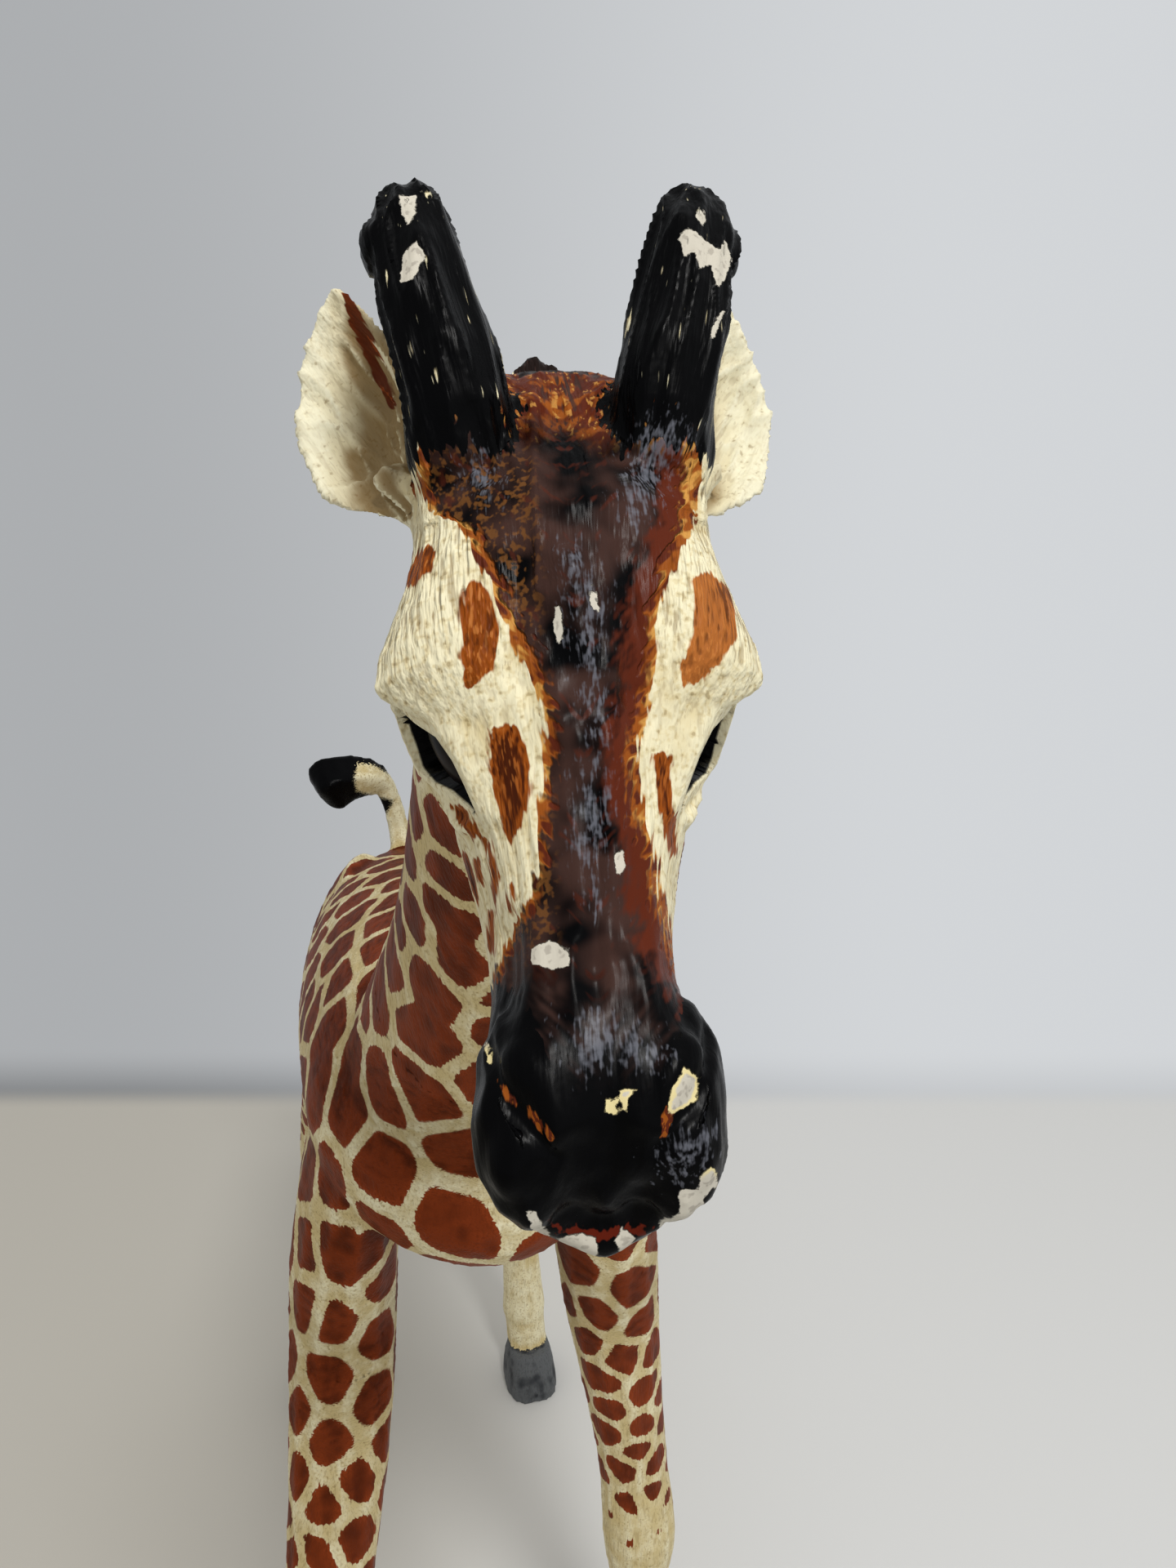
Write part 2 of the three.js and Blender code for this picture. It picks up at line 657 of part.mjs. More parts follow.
// Legs: rows run from the hoof up, each a share of the height to the chest, then shares of the half
// width, of the half depth to the front and to the back, of the splay, of the stride, and of the hoof's
// length that the row lies behind the leg's line.
const forelegShares = [
  [0.05, 0.8, 0.84, 0.84, 1.08, 1.0, 0.0],
  [0.105, 0.79, 0.8, 0.8, 1.07, 0.99, 0.04],
  [0.14, 0.79, 0.7, 0.8, 1.06, 0.98, 0.08],
  [0.175, 0.87, 0.78, 0.93, 1.05, 0.97, 0.11],
  [0.22, 0.72, 0.64, 0.73, 1.04, 0.96, 0.1],
  [0.32, 0.67, 0.59, 0.67, 1.02, 0.94, 0.07],
  [0.42, 0.8, 0.7, 0.72, 1.0, 0.91, 0.06],
  [0.49, 0.97, 0.98, 0.75, 0.96, 0.87, 0.05],
  [0.54, 1.0, 1.0, 0.84, 0.93, 0.83, 0.05],
  [0.605, 0.93, 0.82, 0.84, 0.84, 0.76, 0.06],
  [0.68, 0.93, 0.84, 0.91, 0.72, 0.66, 0.08],
  [0.79, 1.02, 1.02, 1.16, 0.5, 0.55, 0.12],
  [0.9, 1.16, 1.27, 1.45, 0.28, 0.34, 0.18],
];
const shoulderShares = [
  [0.0, 1.24, 1.6, 1.85, 0.12, 0.06, 0.22],
  [0.25, 1.22, 2.0, 2.3, 0.03, 0.02, 0.28],
  [0.55, 1.08, 2.4, 2.7, -0.14, 0.0, 0.36],
  [0.85, 0.82, 2.4, 2.7, -0.4, 0.0, 0.42],
  [1.0, 0.5, 1.6, 1.8, -0.62, 0.0, 0.44],
];
const hindlegShares = [
  [0.05, 0.9, 0.72, 0.72, 1.0, 1.0, 0.0],
  [0.105, 0.88, 0.68, 0.68, 1.0, 0.99, 0.04],
  [0.14, 0.89, 0.6, 0.7, 0.98, 0.98, 0.07],
  [0.175, 0.98, 0.66, 0.82, 0.97, 0.97, 0.1],
  [0.23, 0.86, 0.54, 0.64, 0.95, 0.96, 0.11],
  [0.36, 0.86, 0.52, 0.6, 0.9, 0.92, 0.19],
  [0.48, 0.92, 0.6, 0.74, 0.82, 0.87, 0.3],
  [0.56, 1.0, 0.74, 0.98, 0.76, 0.82, 0.35],
  [0.62, 1.0, 0.76, 1.1, 0.7, 0.76, 0.35],
  [0.7, 1.05, 0.86, 0.98, 0.58, 0.6, 0.16],
  [0.79, 1.16, 1.15, 1.2, 0.4, 0.38, -0.24],
  [0.9, 1.42, 1.7, 1.6, 0.16, 0.12, -0.72],
];
const haunchShares = [
  [0.04, 1.66, 2.25, 2.15, -0.05, 0.0, -0.82],
  [0.35, 1.62, 2.6, 2.4, -0.22, 0.0, -0.82],
  [0.65, 1.38, 2.7, 2.3, -0.46, 0.0, -0.84],
  [0.88, 1.04, 2.4, 1.9, -0.74, 0.0, -0.86],
  [1.0, 0.66, 1.5, 1.4, -0.85, 0.0, -0.86],
];
const hoofShares = [
  [0, 1.0, 0.56, 0.44],
  [0.3, 0.98, 0.535, 0.43],
  [0.75, 0.88, 0.44, 0.385],
  [1, 0.76, 0.33, 0.33],
];
const hoofFullness = 1.14;
const hoofAheadShare = 0.12; // of its length, how far the hoof's middle lies ahead of the leg's
const cleftTopShare = 0.5;
const cleftRiseShare = 0.8; // of the hoof's height

/** The middle of one row of a left leg at height z. The leg stands with its foot at the origin. */
function legPlace({ splay, stride }, [, , , , out, step, setback], z) {
  return V((out - 1) * splay, (1 - step) * stride + setback * hoof.length, z);
}

/** A whole leg with the muscle that runs up into the torso, standing with its foot at the origin. */
function legForm(leg, stance, limbShares, rootShares) {
  const rows = [
    ...limbShares.map((shares) => [shares[0] * torso.chestHeight, shares]),
    ...rootShares.map((shares) => [torso.chestHeight + shares[0] * leg.rootRise, shares]),
  ];
  const section = ([z, shares]) => {
    const [, width, front, back] = shares;
    const outline = rounded(width * leg.halfWidth, front * leg.halfDepth, back * leg.halfDepth);
    return outline.map(([across, ahead]) => legPlace(stance, shares, z).add(V(across, -ahead, 0)));
  };
  return loft(rows.map(section), steps.leg).add(hoofForm());
}

function hoofForm() {
  const y = -hoofAheadShare * hoof.length;
  const section = ([up, width, front, back]) => {
    const outline = rounded(
      width * hoof.halfWidth,
      front * hoof.length,
      back * hoof.length,
      hoofFullness,
    );
    return outline.map(([across, ahead]) => V(across, y - ahead, up * hoof.height));
  };
  const [, , toeShare, heelShare] = hoofShares[0];
  const cleft = (ahead, depth) => {
    const shape = new THREE.CylinderGeometry(cleftTopShare, 1, 1, steps.cleft);
    shape.rotateX(degToRad(90)).scale(hoof.cleftWidth / 2, depth, hoof.height * 2 * cleftRiseShare);
    return solid(shape.translate(0, y - ahead, 0));
  };
  return loft(hoofShares.map(section), steps.hoof)
    .subtract(cleft(toeShare * hoof.length, hoof.cleftDepth))
    .subtract(cleft(-heelShare * hoof.length, hoof.cleftDepth / 2));
}

/** The same solid on the figure's left, or its mirror image on the right. */
function handed(made, hand) {
  if (hand > 0) return made;
  const image = geometryOf(made).scale(hand, 1, 1);
  image.index.array.reverse();
  return solid(image);
}
const pair = (made) => made.add(handed(made, -1));

const limbs = {
  front: { leg: foreleg, limbShares: forelegShares, rootShares: shoulderShares },
  rear: { leg: hindleg, limbShares: hindlegShares, rootShares: haunchShares },
};

/** Each leg: its whole form, its seam with the torso, and where it stands. */
const legs = Object.entries(stances).map(([name, stance]) => {
  const [end, side] = name.split("_");
  const { leg, limbShares, rootShares } = limbs[end];
  const seamHeight = torso.chestHeight - leg.seamDrop;
  return {
    name,
    hand: side === "left" ? 1 : -1,
    form: legForm(leg, stance, limbShares, rootShares),
    foot: V(leg.rootSpacing / 2 + stance.splay, leg.behind - stance.stride, 0),
    seam: { point: legPlace(stance, rootShares[0], seamHeight), normal: V(0, 0, 1) },
  };
});

// The mouldings
function torsoMoulding() {
  let made = barrel()
    .add(behind(neckForm, collarSeam))
    .add(behind(tailForm(), tailSeam));
  const onTorso = (shape, { foot, hand }) =>
    handed(placed(shape, new THREE.Matrix4().makeTranslation(foot)), hand);
  legs.forEach((leg) => {
    made = made.add(onTorso(aheadOf(leg.form, leg.seam), leg));
  });
  legs.forEach((leg) => {
    made = made.subtract(onTorso(spigot(spigots.leg, leg.seam, glueGap), leg));
  });
  made = withSocket(made, spigots.collar, reversed(collarSeam));
  return withSocket(made, spigots.tail, reversed(tailSeam));
}

function neckMoulding() {
  const length = behind(aheadOf(neckForm, collarSeam), throatSeam);
  return withSocket(
    withSpigot(length, spigots.collar, reversed(collarSeam)),
    spigots.throat,
    reversed(throatSeam),
  );
}

function headMoulding() {
  const stub = withSpigot(aheadOf(neckForm, throatSeam), spigots.throat, reversed(throatSeam));
  return headSkin()
    .add(placed(stub, toHead))
    .subtract(pair(spigot(spigots.ossicone, ossiconeSeam, glueGap)))
    .subtract(joined(ears.map(({ seam, hand }) => handed(spigot(spigots.ear, seam, glueGap), hand))));
}

const legMoulding = ({ form, seam }) => withSpigot(behind(form, seam), spigots.leg, seam);
const tailMoulding = withSpigot(aheadOf(tailForm(), tailSeam), spigots.tail, reversed(tailSeam));

// Finishes
const finish = (color, roughness) => new THREE.MeshStandardMaterial({ color, roughness, metalness: 0 });
const coat = finish(0x8a4427, 0.55);
const faceCoat = finish(0xe2dcbc, 0.5);
const black = finish(0x141212, 0.25);
const cream = finish(0xe6dfc0, 0.6);

function moulding(name, made, material, hand = 1) {
  const mesh = new THREE.Mesh(geometryOf(made), material);
  mesh.name = name;
  mesh.scale.x = hand;
  return mesh;
}

const figure = new THREE.Group();
figure.add(moulding("torso", torsoMoulding(), coat));
figure.add(moulding("neck", neckMoulding(), coat));
figure.add(moulding("tail", tailMoulding, black));

for (const leg of legs) {
  const mesh = moulding(leg.name, legMoulding(leg), coat, leg.hand);
  mesh.position.set(leg.foot.x * leg.hand, leg.foot.y, 0);
  figure.add(mesh);
}

const headGroup = new THREE.Group();
headGroup.applyMatrix4(headPose);
headGroup.add(moulding("head", headMoulding(), faceCoat));
const ossiconeMoulding = onSkull(ossiconeForm(), spigots.ossicone, ossiconeSeam);
for (const { side, line, seam, hand } of ears) {
  headGroup.add(moulding(`ossicone_${side}`, ossiconeMoulding, black, hand));
  headGroup.add(moulding(`ear_${side}`, onSkull(earForm(line), spigots.ear, seam), cream, hand));
}
figure.add(headGroup);

// The origin is the middle of the figure's outline on the ground
const bounds = new THREE.Box3().setFromObject(figure, true);
const middle = bounds.getCenter(V(0, 0, 0));
figure.position.set(-middle.x, -middle.y, -bounds.min.z);

export default figure;
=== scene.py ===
"""A hand-painted vinyl giraffe figure, dressed over its packed mouldings.

The mouldings are joined into two skins, one of the head and one of the body, so that the modelling and
the paint run across the glued seams as on the real figure. Each skin is then cut back into the pieces.
Sizes and places are in millimetres, and only what Blender itself holds is in metres.
"""

import logging
import math
from collections.abc import Iterator
from contextlib import contextmanager
from dataclasses import dataclass, field
from enum import Enum

import bmesh
import bpy
import numpy as np
from mathutils import Matrix, Vector
from mathutils.bvhtree import BVHTree


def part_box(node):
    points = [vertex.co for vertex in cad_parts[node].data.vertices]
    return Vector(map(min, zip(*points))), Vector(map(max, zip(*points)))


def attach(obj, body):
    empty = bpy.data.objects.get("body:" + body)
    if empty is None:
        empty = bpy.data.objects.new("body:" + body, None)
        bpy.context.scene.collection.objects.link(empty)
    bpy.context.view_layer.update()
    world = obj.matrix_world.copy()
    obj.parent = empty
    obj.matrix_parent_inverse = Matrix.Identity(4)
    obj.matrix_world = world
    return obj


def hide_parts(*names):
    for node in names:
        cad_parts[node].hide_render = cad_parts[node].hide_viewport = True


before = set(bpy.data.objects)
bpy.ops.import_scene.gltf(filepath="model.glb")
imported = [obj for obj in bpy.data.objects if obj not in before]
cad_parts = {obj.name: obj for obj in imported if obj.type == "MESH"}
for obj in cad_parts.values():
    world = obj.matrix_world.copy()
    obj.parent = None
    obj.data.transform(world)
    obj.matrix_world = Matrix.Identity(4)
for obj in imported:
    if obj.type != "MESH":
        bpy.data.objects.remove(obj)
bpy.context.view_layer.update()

log = logging.getLogger("giraffe")
MM = 0.001
NOWHERE = -9.0
HANDS = (1, -1)
Pixel = tuple[float, float]
Place = tuple[float, float, float]
Socket = bpy.types.NodeSocket
Outline = tuple[Pixel, ...]
Span = tuple[float, float]


def read(items: object, key: str, width: int = 1, kind: type = float) -> np.ndarray:
    """Reads a property of many mesh elements.

    Args:
        items: The elements.
        key: The property's name.
        width: How many numbers each element has.
        kind: The type of the numbers.

    Returns:
        One number, or one row of numbers, for each element.
    """
    values = np.empty(len(items) * width, kind)
    items.foreach_get(key, values)
    return values.reshape(-1, width) if width > 1 else values


def node_points(name: str) -> np.ndarray:
    """Gives the corners of a CAD node, in millimetres."""
    return read(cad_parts[name].data.vertices, "co", 3) / MM


@contextmanager
def editing(mesh: bpy.types.Mesh, keep: bool = True) -> Iterator[bmesh.types.BMesh]:
    """Opens a mesh for editing, and puts it back unless it is only looked at.

    Args:
        mesh: The mesh.
        keep: Whether the edited mesh is put back.

    Yields:
        The open mesh.
    """
    loose = bmesh.new()
    loose.from_mesh(mesh)
    yield loose
    if keep:
        loose.to_mesh(mesh)
    loose.free()


def search_tree(mesh: bpy.types.Mesh) -> BVHTree:
    """Gives a mesh's search tree, in millimetres.

    Args:
        mesh: The mesh.

    Returns:
        The tree of its faces.
    """
    with editing(mesh, keep=False) as loose:
        bmesh.ops.scale(loose, vec=Vector((1, 1, 1)) / MM, verts=loose.verts)
        return BVHTree.FromBMesh(loose)


def add_object(name: str, data: bpy.types.ID) -> bpy.types.Object:
    """Adds an object to the scene.

    Args:
        name: The object's name.
        data: What it shows.

    Returns:
        The object.
    """
    made = bpy.data.objects.new(name, data)
    bpy.context.scene.collection.objects.link(made)
    return made


def mirrored(places: object, hand: int) -> np.ndarray:
    """Gives places of the left side for hand 1, and their mirror images for hand -1."""
    return np.array(places) * (hand, 1, 1)


def least(*values: np.ndarray) -> np.ndarray:
    """Takes the smallest of some values for each point."""
    return np.minimum.reduce(values)


def smooth_step(low: float, high: float, values: np.ndarray) -> np.ndarray:
    """Rises smoothly from 0 at low to 1 at high."""
    t = np.clip((values - low) / (high - low), 0, 1)
    return t * t * (3 - 2 * t)


@dataclass(frozen=True)
class Grain:
    """Repeatable noise between -1 and 1 on a lattice with cells of one unit."""

    seed: int = 1

    def _corner(self, cell: np.ndarray) -> np.ndarray:
        """Hashes lattice corners to values between -1 and 1.

        Args:
            cell: The corners' whole numbers.

        Returns:
            One value for each corner.
        """
        key = cell[:, 0] * 73856093 ^ cell[:, 1] * 19349663 ^ cell[:, 2] * 83492791 ^ self.seed * 2654435
        key = (key ^ (key >> 13)) * 1274126177 & 0x7FFFFFFF
        return ((key ^ (key >> 15)) & 0xFFFF) / 32767.5 - 1

    def at(self, points: np.ndarray) -> np.ndarray:
        """Evaluates the noise.

        Args:
            points: An N by 3 array, in cells.

        Returns:
            One value for each point.
        """
        cell = np.floor(points).astype(np.int64)
        t = points - cell
        t = t * t * (3 - 2 * t)
        total = np.zeros(len(points))
        for corner in np.ndindex(2, 2, 2):
            weight = np.prod(np.where(corner, t, 1 - t), axis=1)
            total += weight * self._corner(cell + corner)
        return total

    def strands(self, points: np.ndarray) -> np.ndarray:
        """Gives narrow ridges between wider hollows, from -1 to 1."""
        return 1 - 2 * np.abs(self.at(points)) ** 0.7


@dataclass(frozen=True)
class HeadPose:
    """Where the head sits: its axes run to its left, out of its face and from the poll to the lips."""

    pitch: float = math.radians(50.4)
    turn: float = math.radians(8.9)
    face_length: float = 32.0
    forehead_rise: float = 2.0

    @property
    def axes(self) -> np.ndarray:
        """Gives the head's three axes as rows."""
        turn = Matrix.Rotation(-self.turn, 3, "Z") @ Matrix.Rotation(math.pi / 2 + self.pitch, 3, "X")
        return np.array(turn.transposed())

    @property
    def poll(self) -> np.ndarray:
        """Works out the poll from the solids: the ossicones give the middle, the head the rest.

        Returns:
            The poll's place.
        """
        horns = np.vstack([node_points(f"ossicone_{side}") for side in ("left", "right")]) @ self.axes.T
        head = node_points("head") @ self.axes.T
        middle = (horns[:, 0].min() + horns[:, 0].max()) / 2
        place = (middle, head[:, 1].max() - self.forehead_rise, head[:, 2].max() - self.face_length)
        return np.array(place) @ self.axes

    def local(self, points: np.ndarray) -> np.ndarray:
        """Turns points into the head's own axes."""
        return (points - self.poll) @ self.axes.T

    def world(self, points: np.ndarray) -> np.ndarray:
        """Turns points of the head's own axes back."""
        return np.asarray(points) @ self.axes + self.poll


@dataclass(frozen=True)
class PhotoView:
    """The photograph's viewpoint. Its frame is 1440 by 1920 pixels."""

    from_poll: Place = (-11.26, -48.38, 1.09)
    heading: float = math.radians(14.5)
    pitch: float = math.radians(20)
    focal_pixels: float = 1443.0
    width: int = 1440
    height: int = 1920
    sensor: float = 36.0

    @property
    def place(self) -> np.ndarray:
        """Gives the lens's place."""
        return HEAD.poll + np.array(self.from_poll)

    @property
    def axes(self) -> np.ndarray:
        """Gives the directions to the right, up and into the view, as rows.

        Returns:
            A 3 by 3 array of unit vectors.
        """
        ahead = Vector((math.sin(self.heading), math.cos(self.heading), 0))
        into = ahead * math.cos(self.pitch) - Vector((0, 0, 1)) * math.sin(self.pitch)
        right = ahead.cross(Vector((0, 0, 1)))
        return np.array([right, right.cross(into), into])

    def pixels(self, points: np.ndarray) -> np.ndarray:
        """Projects points.

        Args:
            points: An N by 3 array in millimetres.

        Returns:
            An N by 3 array of pixel across, pixel down and depth in millimetres.
        """
        right, up, depth = ((points - self.place) @ self.axes.T).T
        depth = np.maximum(depth, 1.0)
        across = self.width / 2 + self.focal_pixels * right / depth
        down = self.height / 2 - self.focal_pixels * up / depth
        return np.column_stack([across, down, depth])

    def ray(self, pixel: Pixel) -> Vector:
        """Gives the direction in which a pixel looks.

        Args:
            pixel: The pixel, across and down.

        Returns:
            The direction, one unit long.
        """
        right = (pixel[0] - self.width / 2) / self.focal_pixels
        up = (self.height / 2 - pixel[1]) / self.focal_pixels
        return Vector(np.array([right, up, 1.0]) @ self.axes).normalized()

    def make_camera(self) -> None:
        """Makes the scene's camera."""
        data = bpy.data.cameras.new("camera")
        data.sensor_fit = "VERTICAL"
        data.sensor_height = self.sensor
        data.lens = self.focal_pixels * self.sensor / self.height
        data.clip_start = MM
        camera = add_object("camera", data)
        right, up, into = self.axes
        turn = Matrix((right, up, -into)).transposed().to_4x4()
        camera.matrix_world = Matrix.Translation(Vector(self.place) * MM) @ turn
        bpy.context.scene.camera = camera


HEAD = HeadPose()
VIEW = PhotoView()


@dataclass
class Skin:
    """One closed surface over several mouldings, worked in millimetres and cut back into pieces."""

    name: str
    nodes: tuple[str, ...]
    voxel: float
    closing_reach: float = 0.45
    closing_share: float = 0.7
    owner_reach: float = 3.0
    mesh: bpy.types.Mesh = field(init=False)
    co: np.ndarray = field(init=False)
    edges: np.ndarray = field(init=False)
    trees: dict[str, BVHTree] = field(init=False)

    def __post_init__(self) -> None:
        """Joins the mouldings and covers them with an even mesh."""
        self.trees = {node: search_tree(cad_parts[node].data) for node in self.nodes}
        joined = bpy.data.meshes.new(self.name)
        with editing(joined) as whole:
            for node in self.nodes:
                self._add(whole, node)
        blank = add_object(self.name, joined)
        cover = blank.modifiers.new("cover", "REMESH")
        cover.mode = "VOXEL"
        cover.voxel_size = self.voxel * MM * 1
        graph = bpy.context.evaluated_depsgraph_get()
        self.mesh = bpy.data.meshes.new_from_object(blank.evaluated_get(graph))
        bpy.data.objects.remove(blank)
        self._read()
        self._drop_inner()
        log.info("%s: %d points", self.name, len(self.co))

    def _add(self, whole: bmesh.types.BMesh, node: str) -> None:
        """Adds a copy of a CAD node, with the faces that meet a neighbour moved across the glued gap.

        Args:
            whole: The mesh that takes the copy.
            node: The node's name.
        """
        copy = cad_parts[node].data.copy()
        with editing(copy) as single:
            bmesh.ops.remove_doubles(single, verts=single.verts, dist=MM * 1e-3)
            for vert in single.verts:
                place = vert.co / MM
                for tree in (tree for other, tree in self.trees.items() if other != node):
                    near = tree.find_nearest(place, self.closing_reach)[0]
                    if near is not None:
                        vert.co += (near - place) * (self.closing_share * MM)
        whole.from_mesh(copy)
        bpy.data.meshes.remove(copy)

    def _read(self) -> None:
        """Reads the points and the edges from the mesh."""
        self.co = read(self.mesh.vertices, "co", 3) / MM
        self.edges = read(self.mesh.edges, "vertices", 2, np.int64)

    def _drop_inner(self) -> None:
        """Deletes every surface but the outer one."""
        label = np.arange(len(self.co))
        first, second = self.edges.T
        while True:
            low = np.minimum(label[first], label[second])
            lower = label.copy()
            np.minimum.at(lower, first, low)
            np.minimum.at(lower, second, low)
            lower = lower[lower]
            if np.array_equal(lower, label):
                break
            label = lower
        outer = np.bincount(label).argmax()
        if np.any(label != outer):
            with editing(self.mesh) as whole:
                inner = [vert for vert in whole.verts if label[vert.index] != outer]
                bmesh.ops.delete(whole, geom=inner, context="VERTS")
            self._read()

    def write(self) -> None:
        """Puts the worked points back into the mesh."""
        self.mesh.vertices.foreach_set("co", (self.co * MM).ravel())
        self.mesh.update()

    def normals(self) -> np.ndarray:
        """Gives the points' outward directions."""
        self.write()
        return read(self.mesh.vertex_normals, "vector", 3)

    def spread(self, values: np.ndarray) -> np.ndarray:
        """Gives each point the mean of its neighbours' values.

        Args:
            values: An array with one row for each point.

        Returns:
            The means, in an array of the same shape.
        """
        flat = values.reshape(len(values), -1)
        first, second = self.edges.T
        count = np.bincount(self.edges.ravel(), minlength=len(flat))
        total = [
            np.bincount(first, column[second], len(flat)) + np.bincount(second, column[first], len(flat))
            for column in flat.T
        ]
        return (np.array(total) / np.maximum(count, 1)).T.reshape(values.shape)

    def relax(self, rounds: int, weight: np.ndarray | float = 1.0, keep: float = 0.53) -> None:
        """Evens the surface out and keeps its volume.

        Args:
            rounds: How many times.
            weight: How strongly each point moves, from 0 to 1.
            keep: How much of each round's shrinking is given back; 0.5 gives back all of it.
        """
        weight = np.broadcast_to(weight, len(self.co))[:, None]
        for _ in range(rounds):
            for strength in (0.5, -keep):
                self.co += weight * strength * (self.spread(self.co) - self.co)

    def cavity(self, rounds: int = 4) -> np.ndarray:
        """Tells hollows from ridges: above 0 in a hollow, below 0 on a ridge, in millimetres.

        Args:
            rounds: How many times the points are evened for it.

        Returns:
            One value for each point.
        """
        normals = self.normals()
        around = self.co
        for _ in range(rounds):
            around = self.spread(around)
        return np.einsum("ij,ij->i", around - self.co, normals)

    def tree(self) -> BVHTree:
        """Gives a search tree of the surface as it is now."""
        self.write()
        return search_tree(self.mesh)

    def gaps(self, points: np.ndarray, node: str, reach: float) -> np.ndarray:
        """Measures how far points lie from a moulding.

        Args:
            points: An N by 3 array in millimetres.
            node: The moulding's name.
            reach: The largest distance that is measured.

        Returns:
            Distances in millimetres, at most the reach.
        """
        result = np.full(len(points), reach)
        corners = node_points(node)
        inside = np.all((points > corners.min(0) - reach) & (points < corners.max(0) + reach), axis=1)
        for index in np.nonzero(inside)[0]:
            distance = self.trees[node].find_nearest(points[index], reach)[3]
            if distance is not None:
                result[index] = distance
        return result

    def nearness(self, nodes: tuple[str, ...], reach: float) -> np.ndarray:
        """Measures how far the skin lies from the nearest of some mouldings, up to the reach."""
        return np.min([self.gaps(self.co, node, reach) for node in nodes], axis=0)

    def store(self, **layers: np.ndarray) -> None:
        """Keeps a value, or a row of three, for each point as attributes that the paint reads."""
        for name, values in layers.items():
            kind, key = ("FLOAT", "value") if values.ndim == 1 else ("FLOAT_VECTOR", "vector")
            layer = self.mesh.attributes.get(name) or self.mesh.attributes.new(name, kind, "POINT")
            layer.data.foreach_set(key, values.astype(np.float32).ravel())

    def cut(self, point: np.ndarray, normal: np.ndarray) -> None:
        """Cuts away what lies ahead of a plane. The points read before are stale afterwards.

        Args:
            point: A point on the plane.
            normal: The direction ahead of it.
        """
        self.write()
        place, out = Vector(point) * MM, Vector(normal)
        with editing(self.mesh) as whole:
            everything = [*whole.verts, *whole.edges, *whole.faces]
            bmesh.ops.bisect_plane(whole, geom=everything, plane_co=place, plane_no=out, clear_outer=True)
        self._read()

    def pieces(self, slots: dict[str, str], paint: bpy.types.Material) -> dict[str, bpy.types.Object]:
        """Cuts the skin into one closed piece for each moulding, of the faces that lie nearest to it.

        Args:
            slots: The mouldings that become pieces; the name kept for each is not used.
            paint: The material of them all.

        Returns:
            The new objects by the names of their mouldings.
        """
        self.store(skin_normal=self.normals())
        centres = read(self.mesh.polygons, "center", 3) / MM
        owner = np.argmin([self.gaps(centres, node, self.owner_reach) for node in self.nodes], axis=0)
        made = {}
        for number, node in enumerate(self.nodes):
            if node in slots:
                made[node] = self._piece(node, owner == number, paint)
        return made

    def _piece(self, node: str, mine: np.ndarray, paint: bpy.types.Material) -> bpy.types.Object:
        """Makes one piece of the faces that are its own, closed behind the seams.

        Args:
            node: The moulding's name.
            mine: Which faces of the skin are its own.
            paint: The material.

        Returns:
            The new object.
        """
        mesh = self.mesh.copy()
        mesh.name = node
        with editing(mesh) as part:
            others = [face for face in part.faces if not mine[face.index]]
            bmesh.ops.delete(part, geom=others, context="FACES")
            for face in part.faces:
                face.smooth = True
            rims = [edge for edge in part.edges if edge.is_boundary]
            caps = bmesh.ops.holes_fill(part, edges=rims, sides=0)["faces"]
            for face in caps:
                face.smooth = False
            bmesh.ops.triangulate(part, faces=caps)
        self._keep_normals(mesh)
        piece = add_object(f"{node}_moulding", mesh)
        mesh.materials.clear()
        mesh.materials.append(paint)
        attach(piece, "root")
        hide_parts(node)
        log.info("%s: %d faces", piece.name, len(mesh.polygons))
        return piece

    @staticmethod
    def _keep_normals(mesh: bpy.types.Mesh) -> None:
        """Shades a piece with the directions of the whole skin, so that no seam shows.

        Args:
            mesh: The piece's mesh.
        """
        whole = read(mesh.attributes["skin_normal"].data, "vector", 3, np.float32)
        corners = read(mesh.loops, "vertex_index", 1, np.int32)
        sides = read(mesh.polygons, "loop_total", 1, np.int32)
        smooth = np.repeat(read(mesh.polygons, "use_smooth", 1, bool), sides)[:, None]
        own = np.repeat(read(mesh.polygons, "normal", 3, np.float32), sides, axis=0)
        mesh.normals_split_custom_set(np.where(smooth, whole[corners], own).tolist())
        mesh.attributes.remove(mesh.attributes["skin_normal"])


def seam_plane(node: str, neighbour: BVHTree) -> tuple[np.ndarray, np.ndarray]:
    """Finds the plane of the glued seam between a moulding and its neighbour.

    Args:
        node: The moulding whose end is flat there.
        neighbour: The neighbour's search tree.

    Returns:
        A point in the middle of the seam's gap, and the direction towards the neighbour.
    """
    gap = 0.3
    pairs = [(Vector(point), neighbour.find_nearest(point, gap * 1.2)) for point in node_points(node)]
    across = [(point, near[0]) for point, near in pairs if near[0] is not None and near[3] > gap * 0.9]
    middles = np.array([(point + near) / 2 for point, near in across])
    towards = np.mean([(near - point).normalized() for point, near in across], axis=0)
    return middles.mean(0), towards / np.linalg.norm(towards)


